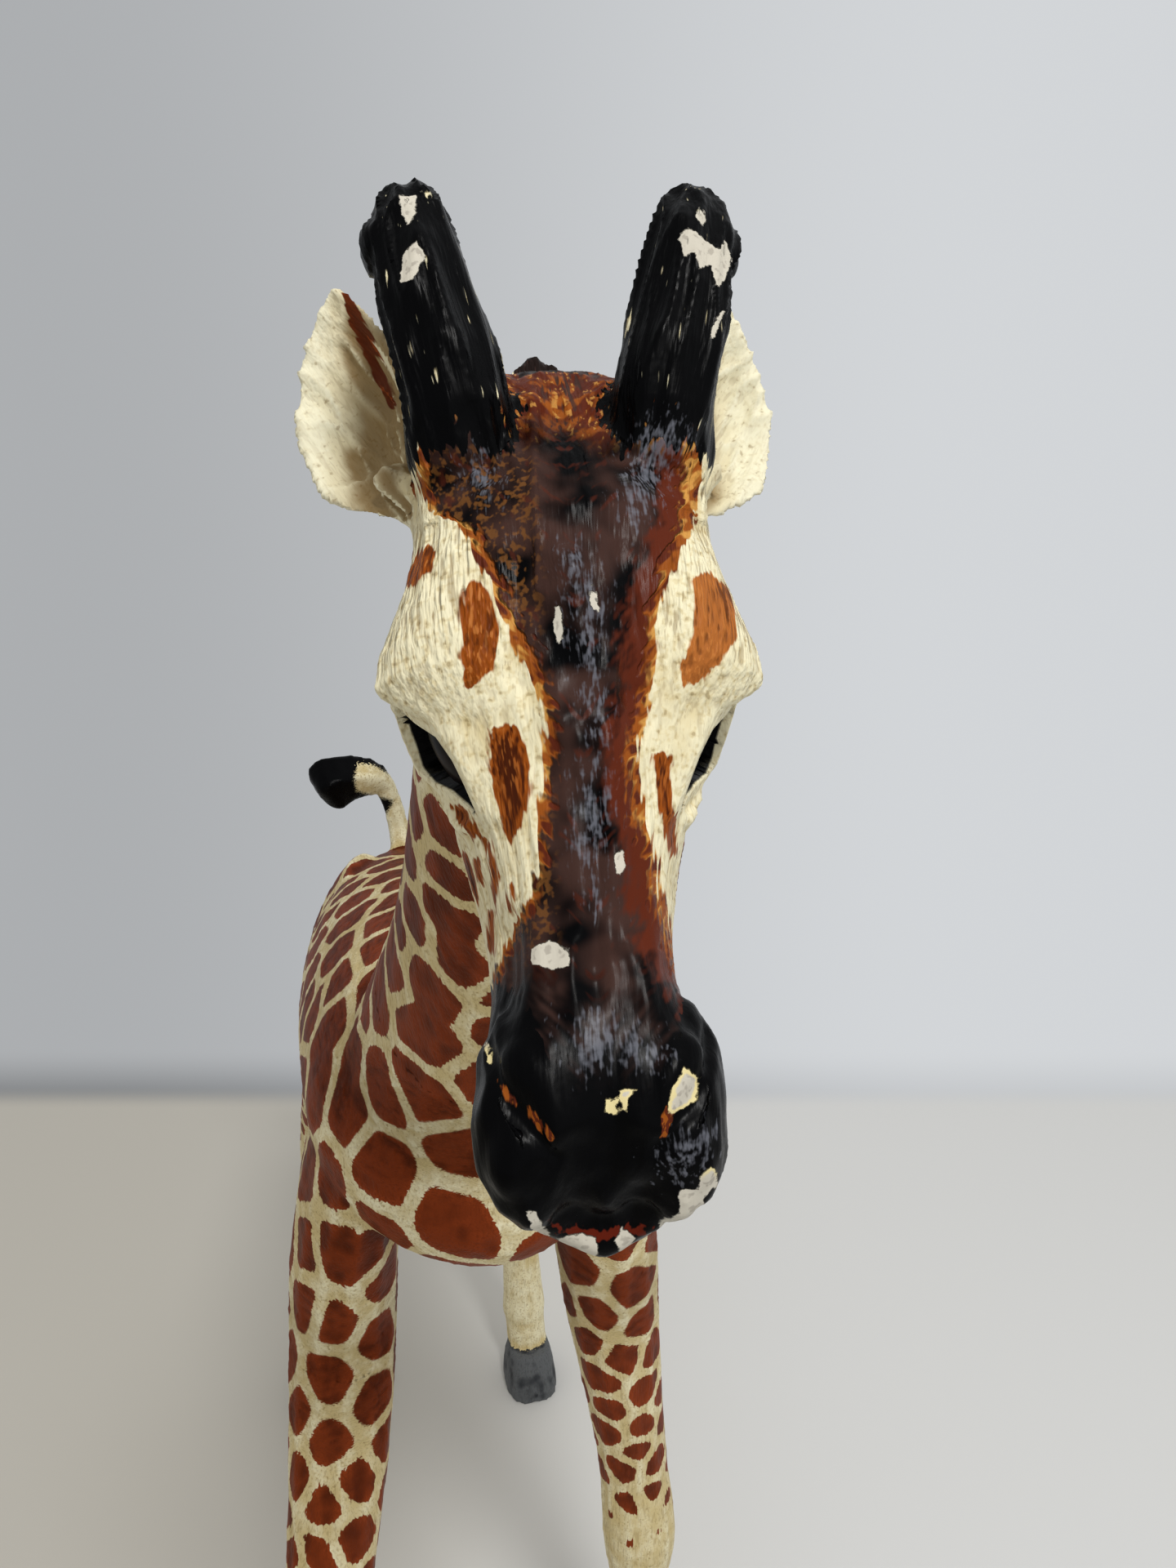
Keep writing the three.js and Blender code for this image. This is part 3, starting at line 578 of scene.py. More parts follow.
@dataclass(frozen=True)
class Stroke:
    """One stroke of the modelling tool along a line in the head's own axes, on its left side."""

    line: tuple[Place, ...]
    radius: float
    lift: float
    hands: tuple[int, ...] = HANDS
    spacing: float = 0.15

    def apply(self, skin: Skin, tree: BVHTree) -> None:
        """Raises or presses the surface along the line.

        Args:
            skin: The surface.
            tree: Its search tree.
        """
        normals = skin.normals()
        for hand in self.hands:
            sharp = HEAD.world(mirrored(self.line, hand))
            path = []
            for start, end in zip(sharp, sharp[1:]):
                count = max(2, round(float(np.linalg.norm(end - start)) / self.spacing))
                path.extend(np.linspace(start, end, count))
            laid = np.array([tree.find_nearest(Vector(place))[0] for place in path])
            self._press(skin, laid, normals)

    def _press(self, skin: Skin, path: np.ndarray, normals: np.ndarray) -> None:
        """Moves the points that lie within the tool's radius of the path.

        Args:
            skin: The skin.
            path: The places along the path.
            normals: The skin's directions.
        """
        low, high = path.min(0) - self.radius, path.max(0) + self.radius
        near = np.nonzero(np.all((skin.co > low) & (skin.co < high), axis=1))[0]
        offsets = skin.co[near][:, None, :] - path[None, :, :]
        distance = np.sqrt((offsets**2).sum(2)).min(1)
        strength = np.clip(1 - (distance / self.radius) ** 2, 0, 1) ** 2
        skin.co[near] += normals[near] * (self.lift * strength)[:, None]


@dataclass(frozen=True)
class EyeSeat:
    """An eye deep between its lids, in the head's own axes on its left side.

    Its own axes run along the opening from its outer corner, up across it, and out of it.
    """

    middle: Place = (5.3, -3.9, 14.4)
    axes: tuple[Place, Place, Place] = (
        (-0.494, 0.239, 0.836),
        (-0.074, 0.931, -0.310),
        (0.852, 0.215, 0.442),
    )
    upper: Outline = (
        (-2.9, 0.2), (-2.4, 0.9), (-1.05, 1.3), (0.5, 2.05), (1.7, 1.95), (2.6, 1.5), (3.65, 0.8),
    )
    lower: Outline = ((-2.9, 0.2), (-2.2, -0.7), (-1.0, -1.55), (0.3, -0.95), (1.5, -0.1), (3.65, 0.7))
    ball_at: Pixel = (0.35, 0.4)
    half_length: float = 3.4
    radius: float = 2.1
    sunk: float = 2.2
    upper_rim: float = 0.34
    lower_rim: float = 0.22
    rim_width: float = 0.26
    blend: float = 1.2
    snap: float = 0.09
    lid: float = 0.1
    opening_middle: float = 0.4
    opening_half: float = 3.3
    reach: Place = (5.2, 4.0, 2.6)
    lid_reach: float = 2.5
    clearance: float = 0.5

    def shape(self, skin: Skin) -> np.ndarray:
        """Models the lids and sinks the sockets.

        Args:
            skin: The head's skin.

        Returns:
            How far below the lids' inner edges each point lies.
        """
        socket = np.full(len(skin.co), NOWHERE)
        for hand in HANDS:
            axes = mirrored(self.axes, hand)
            along, up, out = ((HEAD.local(skin.co) - mirrored(self.middle, hand)) @ axes.T).T
            upper, lower = (np.interp(along, *zip(*line)) for line in (self.upper, self.lower))
            ends = np.abs(along - self.opening_middle) - self.opening_half
            edge = np.maximum(np.maximum(up - upper, lower - up), ends)
            near = (np.abs(along) < self.reach[0]) & (np.abs(up) < self.reach[1]) & (out > -self.reach[2])
            near &= edge < self.lid_reach
            step = np.where(up - upper > lower - up, upper - up, lower - up)
            step = np.where(near & (np.abs(edge) < self.snap) & (np.abs(step) < 2 * self.snap), step, 0)
            upward, outward = (axes @ HEAD.axes)[1:]
            skin.co += step[:, None] * upward
            up = up + step
            edge = np.where(step != 0, 1e-3, edge)
            across = (up - self.ball_at[1]) / self.radius
            bulge = 1 - ((along - self.ball_at[0]) / self.half_length) ** 2 - across**2
            floor = self.radius * np.sqrt(np.clip(bulge, 0, 1)) - self.sunk - self.clearance
            rim = np.where(up > 0.5, self.upper_rim, self.lower_rim)
            target = np.where(edge < 0, floor, rim)
            hold = np.where(edge < 0, 1.0, 1 - smooth_step(self.rim_width, self.blend, edge)) * near
            skin.co += ((target - out) * hold)[:, None] * outward
            depth = rim - self.lid - smooth_step(0.6, -2.4, along) * 0.3
            sunk = np.where(edge < 0, depth - floor, np.where(step != 0, depth - rim, -edge - self.lid))
            socket = np.where(near, np.maximum(socket, sunk), socket)
        return socket

    def placing(self, hand: int) -> Matrix:
        """Gives the matrix that turns a ball of radius 1 into an eyeball.

        Args:
            hand: 1 for the left eye and -1 for the right one.

        Returns:
            The matrix, in metres.
        """
        along, up, out = mirrored(self.axes, hand) @ HEAD.axes
        centre = HEAD.world(mirrored(self.middle, hand)) - out * self.sunk
        centre += along * self.ball_at[0] + up * self.ball_at[1]
        turn = Matrix((along * -hand, up, out)).transposed()
        scale = Matrix.Diagonal((self.half_length, self.radius, self.radius))
        return Matrix.Translation(Vector(centre) * MM) @ (turn @ scale * MM).to_4x4()


def outline_distance(pixels: np.ndarray, outline: Outline) -> np.ndarray:
    """Measures how far points of the view lie inside an outline.

    Args:
        pixels: An N by 3 array of pixel across, pixel down and depth.
        outline: The outline's corners.

    Returns:
        Millimetres at each point's depth, above 0 inside and below 0 outside.
    """
    best = np.full(len(pixels), np.inf)
    inside = np.zeros(len(pixels), bool)
    x, y = pixels[:, 0], pixels[:, 1]
    for (ax, ay), (bx, by) in zip(outline, outline[1:] + outline[:1]):
        dx, dy = bx - ax, by - ay
        share = np.clip(((x - ax) * dx + (y - ay) * dy) / (dx * dx + dy * dy), 0, 1)
        best = np.minimum(best, np.hypot(x - ax - share * dx, y - ay - share * dy))
        if dy:
            crosses = (ay > y) != (by > y)
            inside ^= crosses & (x < ax + (y - ay) * dx / dy)
    return np.where(inside, best, -best) * pixels[:, 2] / VIEW.focal_pixels


def scatter(points: np.ndarray, spacing: np.ndarray, seeds: np.ndarray, most: int = 1400) -> np.ndarray:
    """Adds seeds wherever the surface lies further from every seed than the spacing there.

    Args:
        points: The surface's points.
        spacing: The spacing at each of them.
        seeds: The seeds that are already placed.
        most: The most seeds that are added.

    Returns:
        The added seeds.
    """
    gap = np.full(len(points), np.inf)
    for seed in seeds:
        gap = np.minimum(gap, np.linalg.norm(points - seed, axis=1))
    added = []
    for _ in range(most):
        need = gap / spacing
        furthest = int(need.argmax())
        if need[furthest] < 1:
            break
        added.append(points[furthest])
        gap = np.minimum(gap, np.linalg.norm(points - points[furthest], axis=1))
    return np.array(added)


class Tone(Enum):
    """The paints and the bare vinyl, as display colours from 0 to 255."""

    CREAM = (240, 233, 200)
    PALE = (238, 236, 214)
    TAN = (208, 190, 140)
    WASH = (126, 98, 52)
    PATCH = (148, 74, 20)
    PATCH_LIGHT = (190, 118, 58)
    PATCH_DEEP = (64, 25, 9)
    PATCH_COAT = (142, 61, 26)
    ORANGE = (148, 79, 27)
    OCHRE = (204, 148, 74)
    RUST = (90, 38, 22)
    LIP = (92, 28, 14)
    UMBER = (64, 44, 39)
    GOLD = (124, 80, 38)
    # A highlight painted onto the dark gloss
    PAINTED_HIGHLIGHT = (118, 121, 132)
    BLACK = (4, 4, 5)
    BARE = (204, 199, 186)
    BARE_RIM = (228, 214, 160)
    HOOF = (98, 101, 104)
    HOOF_DEEP = (54, 56, 60)
    MANE = (30, 20, 17)

    @property
    def linear(self) -> tuple[float, float, float, float]:
        """Gives the colour as Blender's linear values."""
        shares = [channel / 255 for channel in self.value]
        return (*(s / 12.92 if s <= 0.04045 else ((s + 0.055) / 1.055) ** 2.4 for s in shares), 1.0)


class Layers:
    """Builds the nodes of a material or of the world layer by layer."""

    def __init__(self, owner: bpy.types.Material | bpy.types.World) -> None:
        """Starts with the owner's plain nodes.

        Args:
            owner: The material or the world.
        """
        owner.use_nodes = True
        self.owner, self.nodes, self.links = owner, owner.node_tree.nodes, owner.node_tree.links

    def node(self, kind: str, *values: object, **settings: object) -> bpy.types.Node:
        """Adds a node with its settings, and feeds its first inputs.

        Args:
            kind: The node's type.
            *values: What its first inputs take, in their order.
            **settings: Its settings by their names.

        Returns:
            The node.
        """
        made = self.nodes.new(kind)
        for key, value in settings.items():
            setattr(made, key, value)
        for socket, value in zip(made.inputs, values):
            self.feed(socket, value)
        return made

    def feed(self, socket: Socket, value: object) -> None:
        """Links a socket to another, or sets its value.

        Args:
            socket: The socket that is fed.
            value: The other socket, or the value.
        """
        if isinstance(value, Socket):
            self.links.new(value, socket)
        else:
            socket.default_value = value.linear if isinstance(value, Tone) else value

    def dress(self, node: bpy.types.Node, values: dict[str, object]) -> bpy.types.Node:
        """Feeds some of a node's inputs by their names.

        Args:
            node: The node.
            values: Sockets or values by the names of the inputs.

        Returns:
            The same node.
        """
        for name, value in values.items():
            self.feed(node.inputs[name], value)
        return node

    def attribute(self, name: str, output: str = "Fac") -> Socket:
        """Reads one of the skin's attributes."""
        return self.node("ShaderNodeAttribute", attribute_name=name).outputs[output]

    def math(self, operation: str, *values: object) -> Socket:
        """Does a sum with sockets and numbers."""
        return self.node("ShaderNodeMath", *values, operation=operation).outputs[0]

    def vector(self, operation: str, *values: object) -> Socket:
        """Does a sum with directions or places."""
        made = self.node("ShaderNodeVectorMath", *values, operation=operation)
        return made.outputs["Value" if operation == "DOT_PRODUCT" else "Vector"]

    def times(self, *values: object) -> Socket:
        """Multiplies two values."""
        return self.math("MULTIPLY", *values)

    def plus(self, value: object, gain: float, base: object) -> Socket:
        """Adds a value to a base, so many times as strong."""
        return self.math("MULTIPLY_ADD", value, gain, base)

    def swing(self, noise: Socket, gain: float, base: object) -> Socket:
        """Moves a base up and down with a noise around 0.5."""
        return self.plus(self.math("SUBTRACT", noise, 0.5), gain, base)

    def most(self, *values: object) -> Socket:
        """Takes the larger of two values."""
        return self.math("MAXIMUM", *values)

    def step(self, value: object, low: float, high: float, *ends: float, kind: str = "SMOOTHSTEP") -> Socket:
        """Rises from one end to the other where the value goes from low to high.

        Args:
            value: The value.
            low: Where the rise begins.
            high: Where the rise is complete.
            *ends: The two ends, which are 0 and 1 unless they are given.
            kind: The shape of the rise.

        Returns:
            The risen value.
        """
        ends = ends or (0.0, 1.0)
        made = self.node("ShaderNodeMapRange", value, low, high, *ends, interpolation_type=kind)
        return made.outputs[0]

    def noise(self, at: object, scale: float, detail: float) -> Socket:
        """Adds noise between 0 and 1 with a number of cells to the unit."""
        made = self.node("ShaderNodeTexNoise")
        return self.dress(made, {"Vector": at, "Scale": scale, "Detail": detail}).outputs["Fac"]

    def _mix(self, kind: str, factor: object, below: object, above: object) -> Socket:
        """Mixes two values of one kind, Color or Float.

        Args:
            kind: The kind.
            factor: How far the upper one shows, from 0 to 1.
            below: The lower value.
            above: The upper value.

        Returns:
            The mixed value.
        """
        made = self.node("ShaderNodeMix", data_type="RGBA" if kind == "Color" else "FLOAT")
        inputs = {socket.identifier: socket for socket in made.inputs}
        for name, value in (("Factor_Float", factor), (f"A_{kind}", below), (f"B_{kind}", above)):
            self.feed(inputs[name], value)
        return next(socket for socket in made.outputs if socket.identifier == f"Result_{kind}")

    def over(self, below: object, above: object, mask: object, share: float = 1.0) -> Socket:
        """Covers one colour with another where a mask lets it through."""
        return self._mix("Color", mask if share == 1.0 else self.times(mask, share), below, above)

    def even(self, factor: object, below: object, above: object) -> Socket:
        """Moves from one number to another."""
        return self._mix("Float", factor, below, above)


class VinylPaint(Layers):
    """Cream ground, brown wash in the grooves, patches, dark stripe, black and worn places.

    The skins' attributes say how many millimetres a point lies inside each coat of paint.
    """

    hair_scale = 3.9
    bump = 0.19 * MM
    cream_roughness = 0.46
    patch_roughness = 0.42
    gloss_roughness = 0.26
    bare_roughness = 0.6
    refraction = 1.5
    specular = 0.05

    def __init__(self) -> None:
        """Starts the material with the noises and the grooves that its coats share."""
        super().__init__(bpy.data.materials.new("painted_vinyl"))
        at, place = self.attribute("hair_at", "Vector"), self.attribute("place", "Vector")
        self.hair = self.noise(at, self.hair_scale, 1.5)
        self.fine = self.noise(at, self.hair_scale * 2.1, 1.0)
        self.cloud = self.noise(place, 0.42, 2.0)
        self.speck = self.noise(place, 3.6, 1.5)
        self.nick = self.noise(place, 3.0, 3.0)
        self.lean = self.math("SUBTRACT", self.hair, 0.5)
        self.hairy = self.attribute("hairy")
        grooves = self.most(self.step(self.hair, 0.53, 0.66), self.step(self.fine, 0.6, 0.72))
        self.grooves = self.times(grooves, self.hairy)
        shade = self.plus(self.attribute("cavity"), 6.0, self.attribute("shade"))
        self.depth = self.swing(self.cloud, 1.5, shade)

    def make(self) -> bpy.types.Material:
        """Lays all coats of paint, the lowest first.

        Returns:
            The material, whose pattern follows the skins' attributes.
        """
        for coat in (self.ground, self.patches, self.stripe, self.darks, self.wear):
            coat()
        self.dress(self.nodes["Principled BSDF"], {
            "Base Color": self.colour,
            "Roughness": self.rough,
            "IOR": self.refraction,
            "Specular IOR Level": self.specular,
            "Normal": self.relief(),
        })
        return self.owner

    def lay(self, tone: Tone | Socket, mask: Socket, share: float = 1.0) -> None:
        """Lays one tone over what has been painted."""
        self.colour = self.over(self.colour, tone, mask, share)

    def edge(self, name: str, ragged: float) -> Socket:
        """Masks a coat of paint, whose edge runs in and out along the hair."""
        return self.step(self.plus(self.lean, ragged * 2, self.attribute(name)), -0.04, 0.06)

    def ground(self) -> None:
        """Lays the cream, with tan and wash in its hollows and grooves, and painted shade in the ears'
        hollows.
        """
        self.colour = self.over(Tone.CREAM, Tone.TAN, self.step(self.depth, -0.22, 0.82))
        self.lay(Tone.TAN, self.step(self.speck, 0.48, 0.64), 0.5)
        self.lay(Tone.PALE, self.attribute("pale"))
        self.lay(Tone.WASH, self.step(self.depth, 0.8, 2.0), 0.85)
        self.lay(Tone.WASH, self.times(self.grooves, self.even(self.step(self.depth, -0.3, 0.5), 0.5, 0.9)))
        self.lay(Tone.WASH, self.step(self.speck, 0.63, 0.74), 0.45)
        self.rough = self.even(self.grooves, self.cream_roughness, 0.6)

    def patches(self) -> None:
        """Lays the patches, darker in the grooves, with light strands on the face and painted light on the
        face's left side.
        """
        face, thick = self.attribute("face"), self.attribute("thick")
        middle = self.swing(self.fine, 1.6, self.attribute("patch"))
        tint = self.over(Tone.PATCH_COAT, Tone.PATCH, face)
        middle = self.times(self.step(middle, 0.05, 0.6), self.even(thick, 0.25, 0.95))
        tint = self.over(tint, Tone.PATCH_DEEP, middle)
        # Painted light: paler patch paint on the face's lit left side.
        tint = self.over(tint, Tone.PATCH_LIGHT, self.most(self.plus(face, 2.0, -2.0), 0.0))
        strands = self.times(face, self.even(thick, 0.7, 0.3))
        tint = self.over(tint, Tone.PATCH_LIGHT, self.times(self.step(self.fine, 0.44, 0.34), strands))
        hollows = self.most(self.grooves, self.step(self.depth, 0.0, 1.0))
        tint = self.over(tint, Tone.PATCH_DEEP, hollows, 0.75)
        patch = self.edge("patch", 0.3)
        self.lay(tint, patch)
        self.rough = self.even(patch, self.rough, self.patch_roughness)

    def stripe(self) -> None:
        """Lays the dark stripe: an orange fringe of slanting dashes, a rust side and a dark core."""
        inside = self.plus(self.lean, 0.8, self.attribute("stripe"))
        dash = self.noise(self.attribute("dash_at", "Vector"), 2.7, 1.0)
        fringe = self.over(Tone.ORANGE, Tone.OCHRE, self.step(dash, 0.5, 0.6))
        fringe = self.over(fringe, Tone.RUST, self.step(dash, 0.44, 0.34))
        self.lay(fringe, self.step(inside, 0.0, 0.08))

        deep = self.math("SUBTRACT", self.swing(dash, 1.5, inside), self.attribute("fringe"))
        tone = self.over(Tone.BLACK, Tone.UMBER, self.step(self.cloud, 0.38, 0.62))
        tone = self.over(tone, Tone.RUST, self.step(dash, 0.58, 0.72), 0.45)
        tone = self.over(tone, Tone.RUST, self.times(self.attribute("side"), self.step(deep, 1.1, 0.45)))
        gold = self.times(self.step(self.speck, 0.5, 0.64), self.attribute("speckle"))
        tone = self.over(tone, Tone.GOLD, gold, 0.6)
        crown = self.over(Tone.RUST, Tone.ORANGE, self.step(dash, 0.46, 0.66))
        crown = self.over(crown, Tone.UMBER, self.grooves)
        bright = self.times(self.step(self.speck, 0.48, 0.6), self.step(self.lean, -0.03, -0.1))
        crown = self.over(crown, Tone.OCHRE, bright, 0.7)
        tone = self.over(tone, crown, self.attribute("crown"))
        dusk = self.swing(dash, 1.6, self.attribute("dusk"))
        tone = self.over(tone, Tone.BLACK, self.step(dusk, 0.0, 1.0))
        core = self.step(deep, -0.12, 0.14)
        self.lay(tone, core)
        self.gloss = self.times(core, self.even(self.attribute("crown"), 1.0, 0.5))

    def darks(self) -> None:
        """Lays the mane, the glossy black with its painted blue-grey highlights, and the hooves."""
        self.lay(self.over(Tone.MANE, Tone.UMBER, self.grooves), self.edge("mane", 0.5))
        black = self.most(self.edge("black", 0.9), self.step(self.attribute("socket"), -0.05, 0.05))
        self.lay(Tone.BLACK, black)
        # Painted highlights: a blue-grey sheen laid over parts of the stripe and the muzzle.
        painted_highlight = self.plus(self.lean, -1.6, self.attribute("painted_highlight"))
        painted_highlight = self.swing(self.speck, -2.0, self.swing(self.fine, -3.0, painted_highlight))
        self.lay(Tone.PAINTED_HIGHLIGHT, self.step(painted_highlight, 0.1, 1.3), 0.62)
        self.gloss = self.most(self.gloss, black)
        shine = self.plus(self.speck, 0.2, self.gloss_roughness - 0.08)
        self.rough = self.even(self.gloss, self.rough, shine)
        horn = self.over(Tone.HOOF, Tone.HOOF_DEEP, self.step(self.depth, 0.1, 0.8))
        self.lay(self.over(horn, Tone.HOOF_DEEP, self.grooves), self.edge("hoof", 0.25))

    def wear(self) -> None:
        """Lays the scratches and the line of the lips, and bares the vinyl at the chips."""
        rust = self.over(Tone.ORANGE, Tone.RUST, self.step(self.fine, 0.46, 0.54))
        self.lay(rust, self.edge("scratch", 0.3))
        self.lay(Tone.LIP, self.edge("lip", 0.4))
        chip = self.swing(self.nick, 0.32, self.attribute("chip"))
        self.worn = self.step(chip, -0.05, 0.0)
        self.lay(self.over(Tone.BARE, Tone.BARE_RIM, self.attribute("ring")), self.worn)
        bare = self.over(Tone.BARE, Tone.UMBER, self.step(self.speck, 0.52, 0.64), 0.3)
        self.lay(bare, self.step(chip, 0.06, 0.13))
        self.rough = self.even(self.worn, self.rough, self.bare_roughness)

    def relief(self) -> Socket:
        """Sinks the hair and the worn places into the surface; thick gloss paint half fills them.

        Returns:
            The direction of the surface with its relief.
        """
        height = self.plus(self.fine, -0.5, self.times(self.hair, -1.6))
        height = self.times(self.times(height, self.hairy), self.even(self.gloss, 1.0, 0.2))
        height = self.plus(self.worn, -0.5, height)
        made = self.node("ShaderNodeBump")
        return self.dress(made, {"Strength": 1.0, "Distance": self.bump, "Height": height}).outputs["Normal"]


@dataclass(frozen=True)
class EyeBlack:
    """The painted eyeball, glossy and nearly black."""

    cloud_scale: float = 900.0
    roughness: Span = (0.18, 0.45)
    specular: float = 0.05

    def make(self) -> bpy.types.Material:
        """Makes the material.

        Returns:
            The material, for the eyeballs in the head's mesh.
        """
        layers = Layers(bpy.data.materials.new("eye_black"))
        place = layers.node("ShaderNodeTexCoord").outputs["Object"]
        cloud = layers.noise(place, self.cloud_scale, 2.0)
        layers.dress(layers.nodes["Principled BSDF"], {
            "Base Color": layers.over(Tone.BLACK, Tone.UMBER, layers.step(cloud, 0.4, 0.8), 0.3),
            "Roughness": layers.even(cloud, *self.roughness),
            "Specular IOR Level": self.specular,
        })
        return layers.owner


# The coats of paint that each skin keeps
COATS = ("stripe", "patch", "chip", "scratch", "lip", "painted_highlight", "black", "socket", "mane", "hoof")


def store_coats(
    skin: Skin, coats: dict[str, np.ndarray], hairy: np.ndarray | float, hair: np.ndarray, place: np.ndarray
) -> None:
    """Keeps on a skin what the paint reads.

    Args:
        skin: The skin.
        coats: How far inside each coat of paint the points lie; a coat that isn't named lies nowhere.
        hairy: How strong the grooves of the hair are.
        hair: Places for the hair's noise.
        place: Places for all other noise.
    """
    nowhere = np.full(len(skin.co), NOWHERE)
    skin.store(**{name: coats.get(name, nowhere) for name in COATS})
    skin.store(hairy=np.broadcast_to(hairy, len(skin.co)), hair_at=hair, place=place, cavity=skin.cavity())


@dataclass(frozen=True)
class FaceLayout:
    """Outlines on the face in the photograph's pixels."""

    stripe_left: Outline = (
        (520, 480), (505, 540), (511, 600), (530, 632), (562, 640), (575, 676), (597, 710), (609, 749),
        (631, 797), (648, 831), (662, 861), (664, 890), (664, 920), (661, 971), (659, 1005), (658, 1061),
        (645, 1100), (622, 1150), (600, 1200), (560, 1250), (500, 1300),
    )
    stripe_right: Outline = (
        (862, 480), (862, 540), (858, 600), (853, 640), (837, 676), (818, 716), (806, 747), (805, 780),
        (804, 820), (797, 864), (790, 890), (783, 909), (780, 932), (784, 957), (790, 1002), (798, 1021),
        (804, 1047), (808, 1078), (815, 1100), (828, 1150), (845, 1200), (880, 1250), (940, 1300),
    )
    patches: tuple[Outline, ...] = (
        ((524, 665), (533, 677), (530, 696), (507, 717), (492, 723), (497, 699), (507, 682)),
        ((565, 721), (580, 709), (597, 721), (611, 758), (611, 791), (603, 822), (586, 839), (569, 841),
         (563, 808), (563, 763)),
        ((600, 892), (631, 887), (642, 906), (652, 937), (649, 971), (642, 1010), (628, 1035), (615, 1016),
         (605, 971), (596, 937), (597, 909)),
        ((846, 709), (868, 698), (891, 721), (903, 752), (903, 780), (885, 808), (857, 834), (836, 842),
         (832, 814), (847, 783), (850, 758)),
        ((798, 922), (821, 922), (823, 957), (829, 1013), (830, 1044), (821, 1052), (812, 1016), (800, 957)),
    )
    chips: tuple[Outline, ...] = (
        ((489, 241), (509, 240), (509, 261), (500, 275), (491, 255)),
        ((494, 313), (509, 295), (521, 313), (512, 329), (506, 342), (492, 344)),
        ((830, 289), (841, 278), (881, 307), (887, 295), (896, 316), (887, 341), (878, 353), (872, 322),
         (856, 329), (853, 307), (838, 313)),
        ((853, 252), (864, 261), (861, 277), (854, 264)),
        ((869, 414), (881, 387), (886, 381), (876, 410)),
        ((649, 1163), (673, 1153), (696, 1163), (697, 1182), (678, 1187), (652, 1179)),
        ((740, 1344), (755, 1349), (753, 1363), (743, 1361)),
        ((759, 1335), (778, 1333), (769, 1346), (764, 1364)),
        ((837, 1308), (857, 1320), (852, 1346), (831, 1361), (815, 1364), (825, 1335)),
        ((645, 1484), (655, 1484), (664, 1502), (673, 1508), (670, 1520), (652, 1505)),
        ((683, 1517), (708, 1511), (731, 1514), (730, 1540), (708, 1545), (684, 1538)),
        ((752, 1520), (763, 1502), (778, 1517), (764, 1535)),
        ((828, 1462), (843, 1455), (857, 1458), (862, 1470), (856, 1486), (842, 1494), (832, 1484),
         (834, 1472)),
        ((856, 1456), (858, 1442), (872, 1428), (878, 1436), (876, 1452), (862, 1466)),
        ((806, 1500), (812, 1492), (824, 1490), (832, 1486), (842, 1496), (830, 1508), (812, 1510)),
        ((592, 1272), (597, 1276), (604, 1298), (600, 1303), (595, 1290)),
        ((681, 740), (686, 746), (690, 772), (689, 790), (682, 787), (678, 764)),
        ((725, 716), (731, 728), (733, 748), (726, 746), (723, 730)),
        ((754, 1046), (761, 1043), (764, 1058), (760, 1071), (755, 1068)),
    )
    scratches: tuple[Outline, ...] = (
        ((609, 1322), (616, 1328), (637, 1350), (630, 1356), (612, 1332)),
        ((646, 1352), (656, 1362), (679, 1396), (670, 1396), (652, 1372)),
        ((813, 1355), (831, 1360), (822, 1375), (812, 1400), (809, 1390)),
    )
    jaw_patches: tuple[Outline, ...] = (
        ((550, 985), (572, 990), (587, 1020), (580, 1030), (560, 1005)),
        ((592, 1023), (602, 1030), (612, 1075), (608, 1107), (598, 1070)),
        ((578, 1050), (588, 1052), (593, 1086), (583, 1078)),
        ((622, 1080), (629, 1082), (630, 1122), (622, 1118)),
        ((596, 1112), (606, 1116), (606, 1170), (597, 1160)),
    )
    # Where highlights are painted on the dark stripe and the muzzle
    painted_highlights: tuple[Outline, ...] = (
        ((686, 668), (712, 660), (738, 690), (746, 740), (742, 800), (750, 860), (744, 908), (722, 908),
         (708, 860), (704, 800), (696, 740), (686, 700)),
        ((703, 930), (742, 920), (748, 1000), (740, 1060), (746, 1115), (718, 1115), (698, 1040)),
        ((560, 556), (590, 550), (616, 585), (616, 614), (590, 616), (568, 592)),
        ((788, 512), (838, 498), (848, 540), (824, 584), (796, 634), (775, 654), (756, 620), (762, 566)),
        ((686, 1246), (730, 1236), (796, 1262), (820, 1292), (800, 1318), (760, 1306), (720, 1324),
         (698, 1302)),
        ((808, 1410), (832, 1384), (878, 1376), (884, 1402), (860, 1440), (828, 1450), (808, 1438)),
    )
    lip_line: tuple[Outline, ...] = (
        ((676, 1499), (690, 1505), (706, 1500), (726, 1509), (748, 1505), (768, 1500), (800, 1504),
         (790, 1511), (760, 1512), (730, 1517), (700, 1512), (682, 1509)),
    )
    ear_folds: tuple[Outline, ...] = (
        ((420, 358), (428, 352), (442, 380), (458, 415), (486, 498), (477, 502), (455, 458), (438, 420),
         (426, 388)),
    )
    cheek_spots: tuple[Place, ...] = (
        (-5.2, 5.2, 1.5), (-8.6, 7.4, 1.7), (-5.6, 9.6, 1.2), (-10.6, 11.2, 1.4), (-8.2, 15.0, 1.5),
        (-5.9, 18.6, 1.0), (-8.3, 19.4, 1.1), (-7.4, 22.3, 0.8), (-11.4, 4.0, 1.5), (-2.6, 3.0, 0.9),
    )
    muzzle_from: float = 22.9
    lobe_middle: float = 0.35
    lobe_length: float = 4.7
    lobe_half_width: float = 2.7
    face_floor: float = -5.0

    @staticmethod
    def across(edge: Outline, down: np.ndarray) -> np.ndarray:
        """Gives where an edge of the stripe lies at each height of the view."""
        return np.interp(down, [point[1] for point in edge], [point[0] for point in edge])


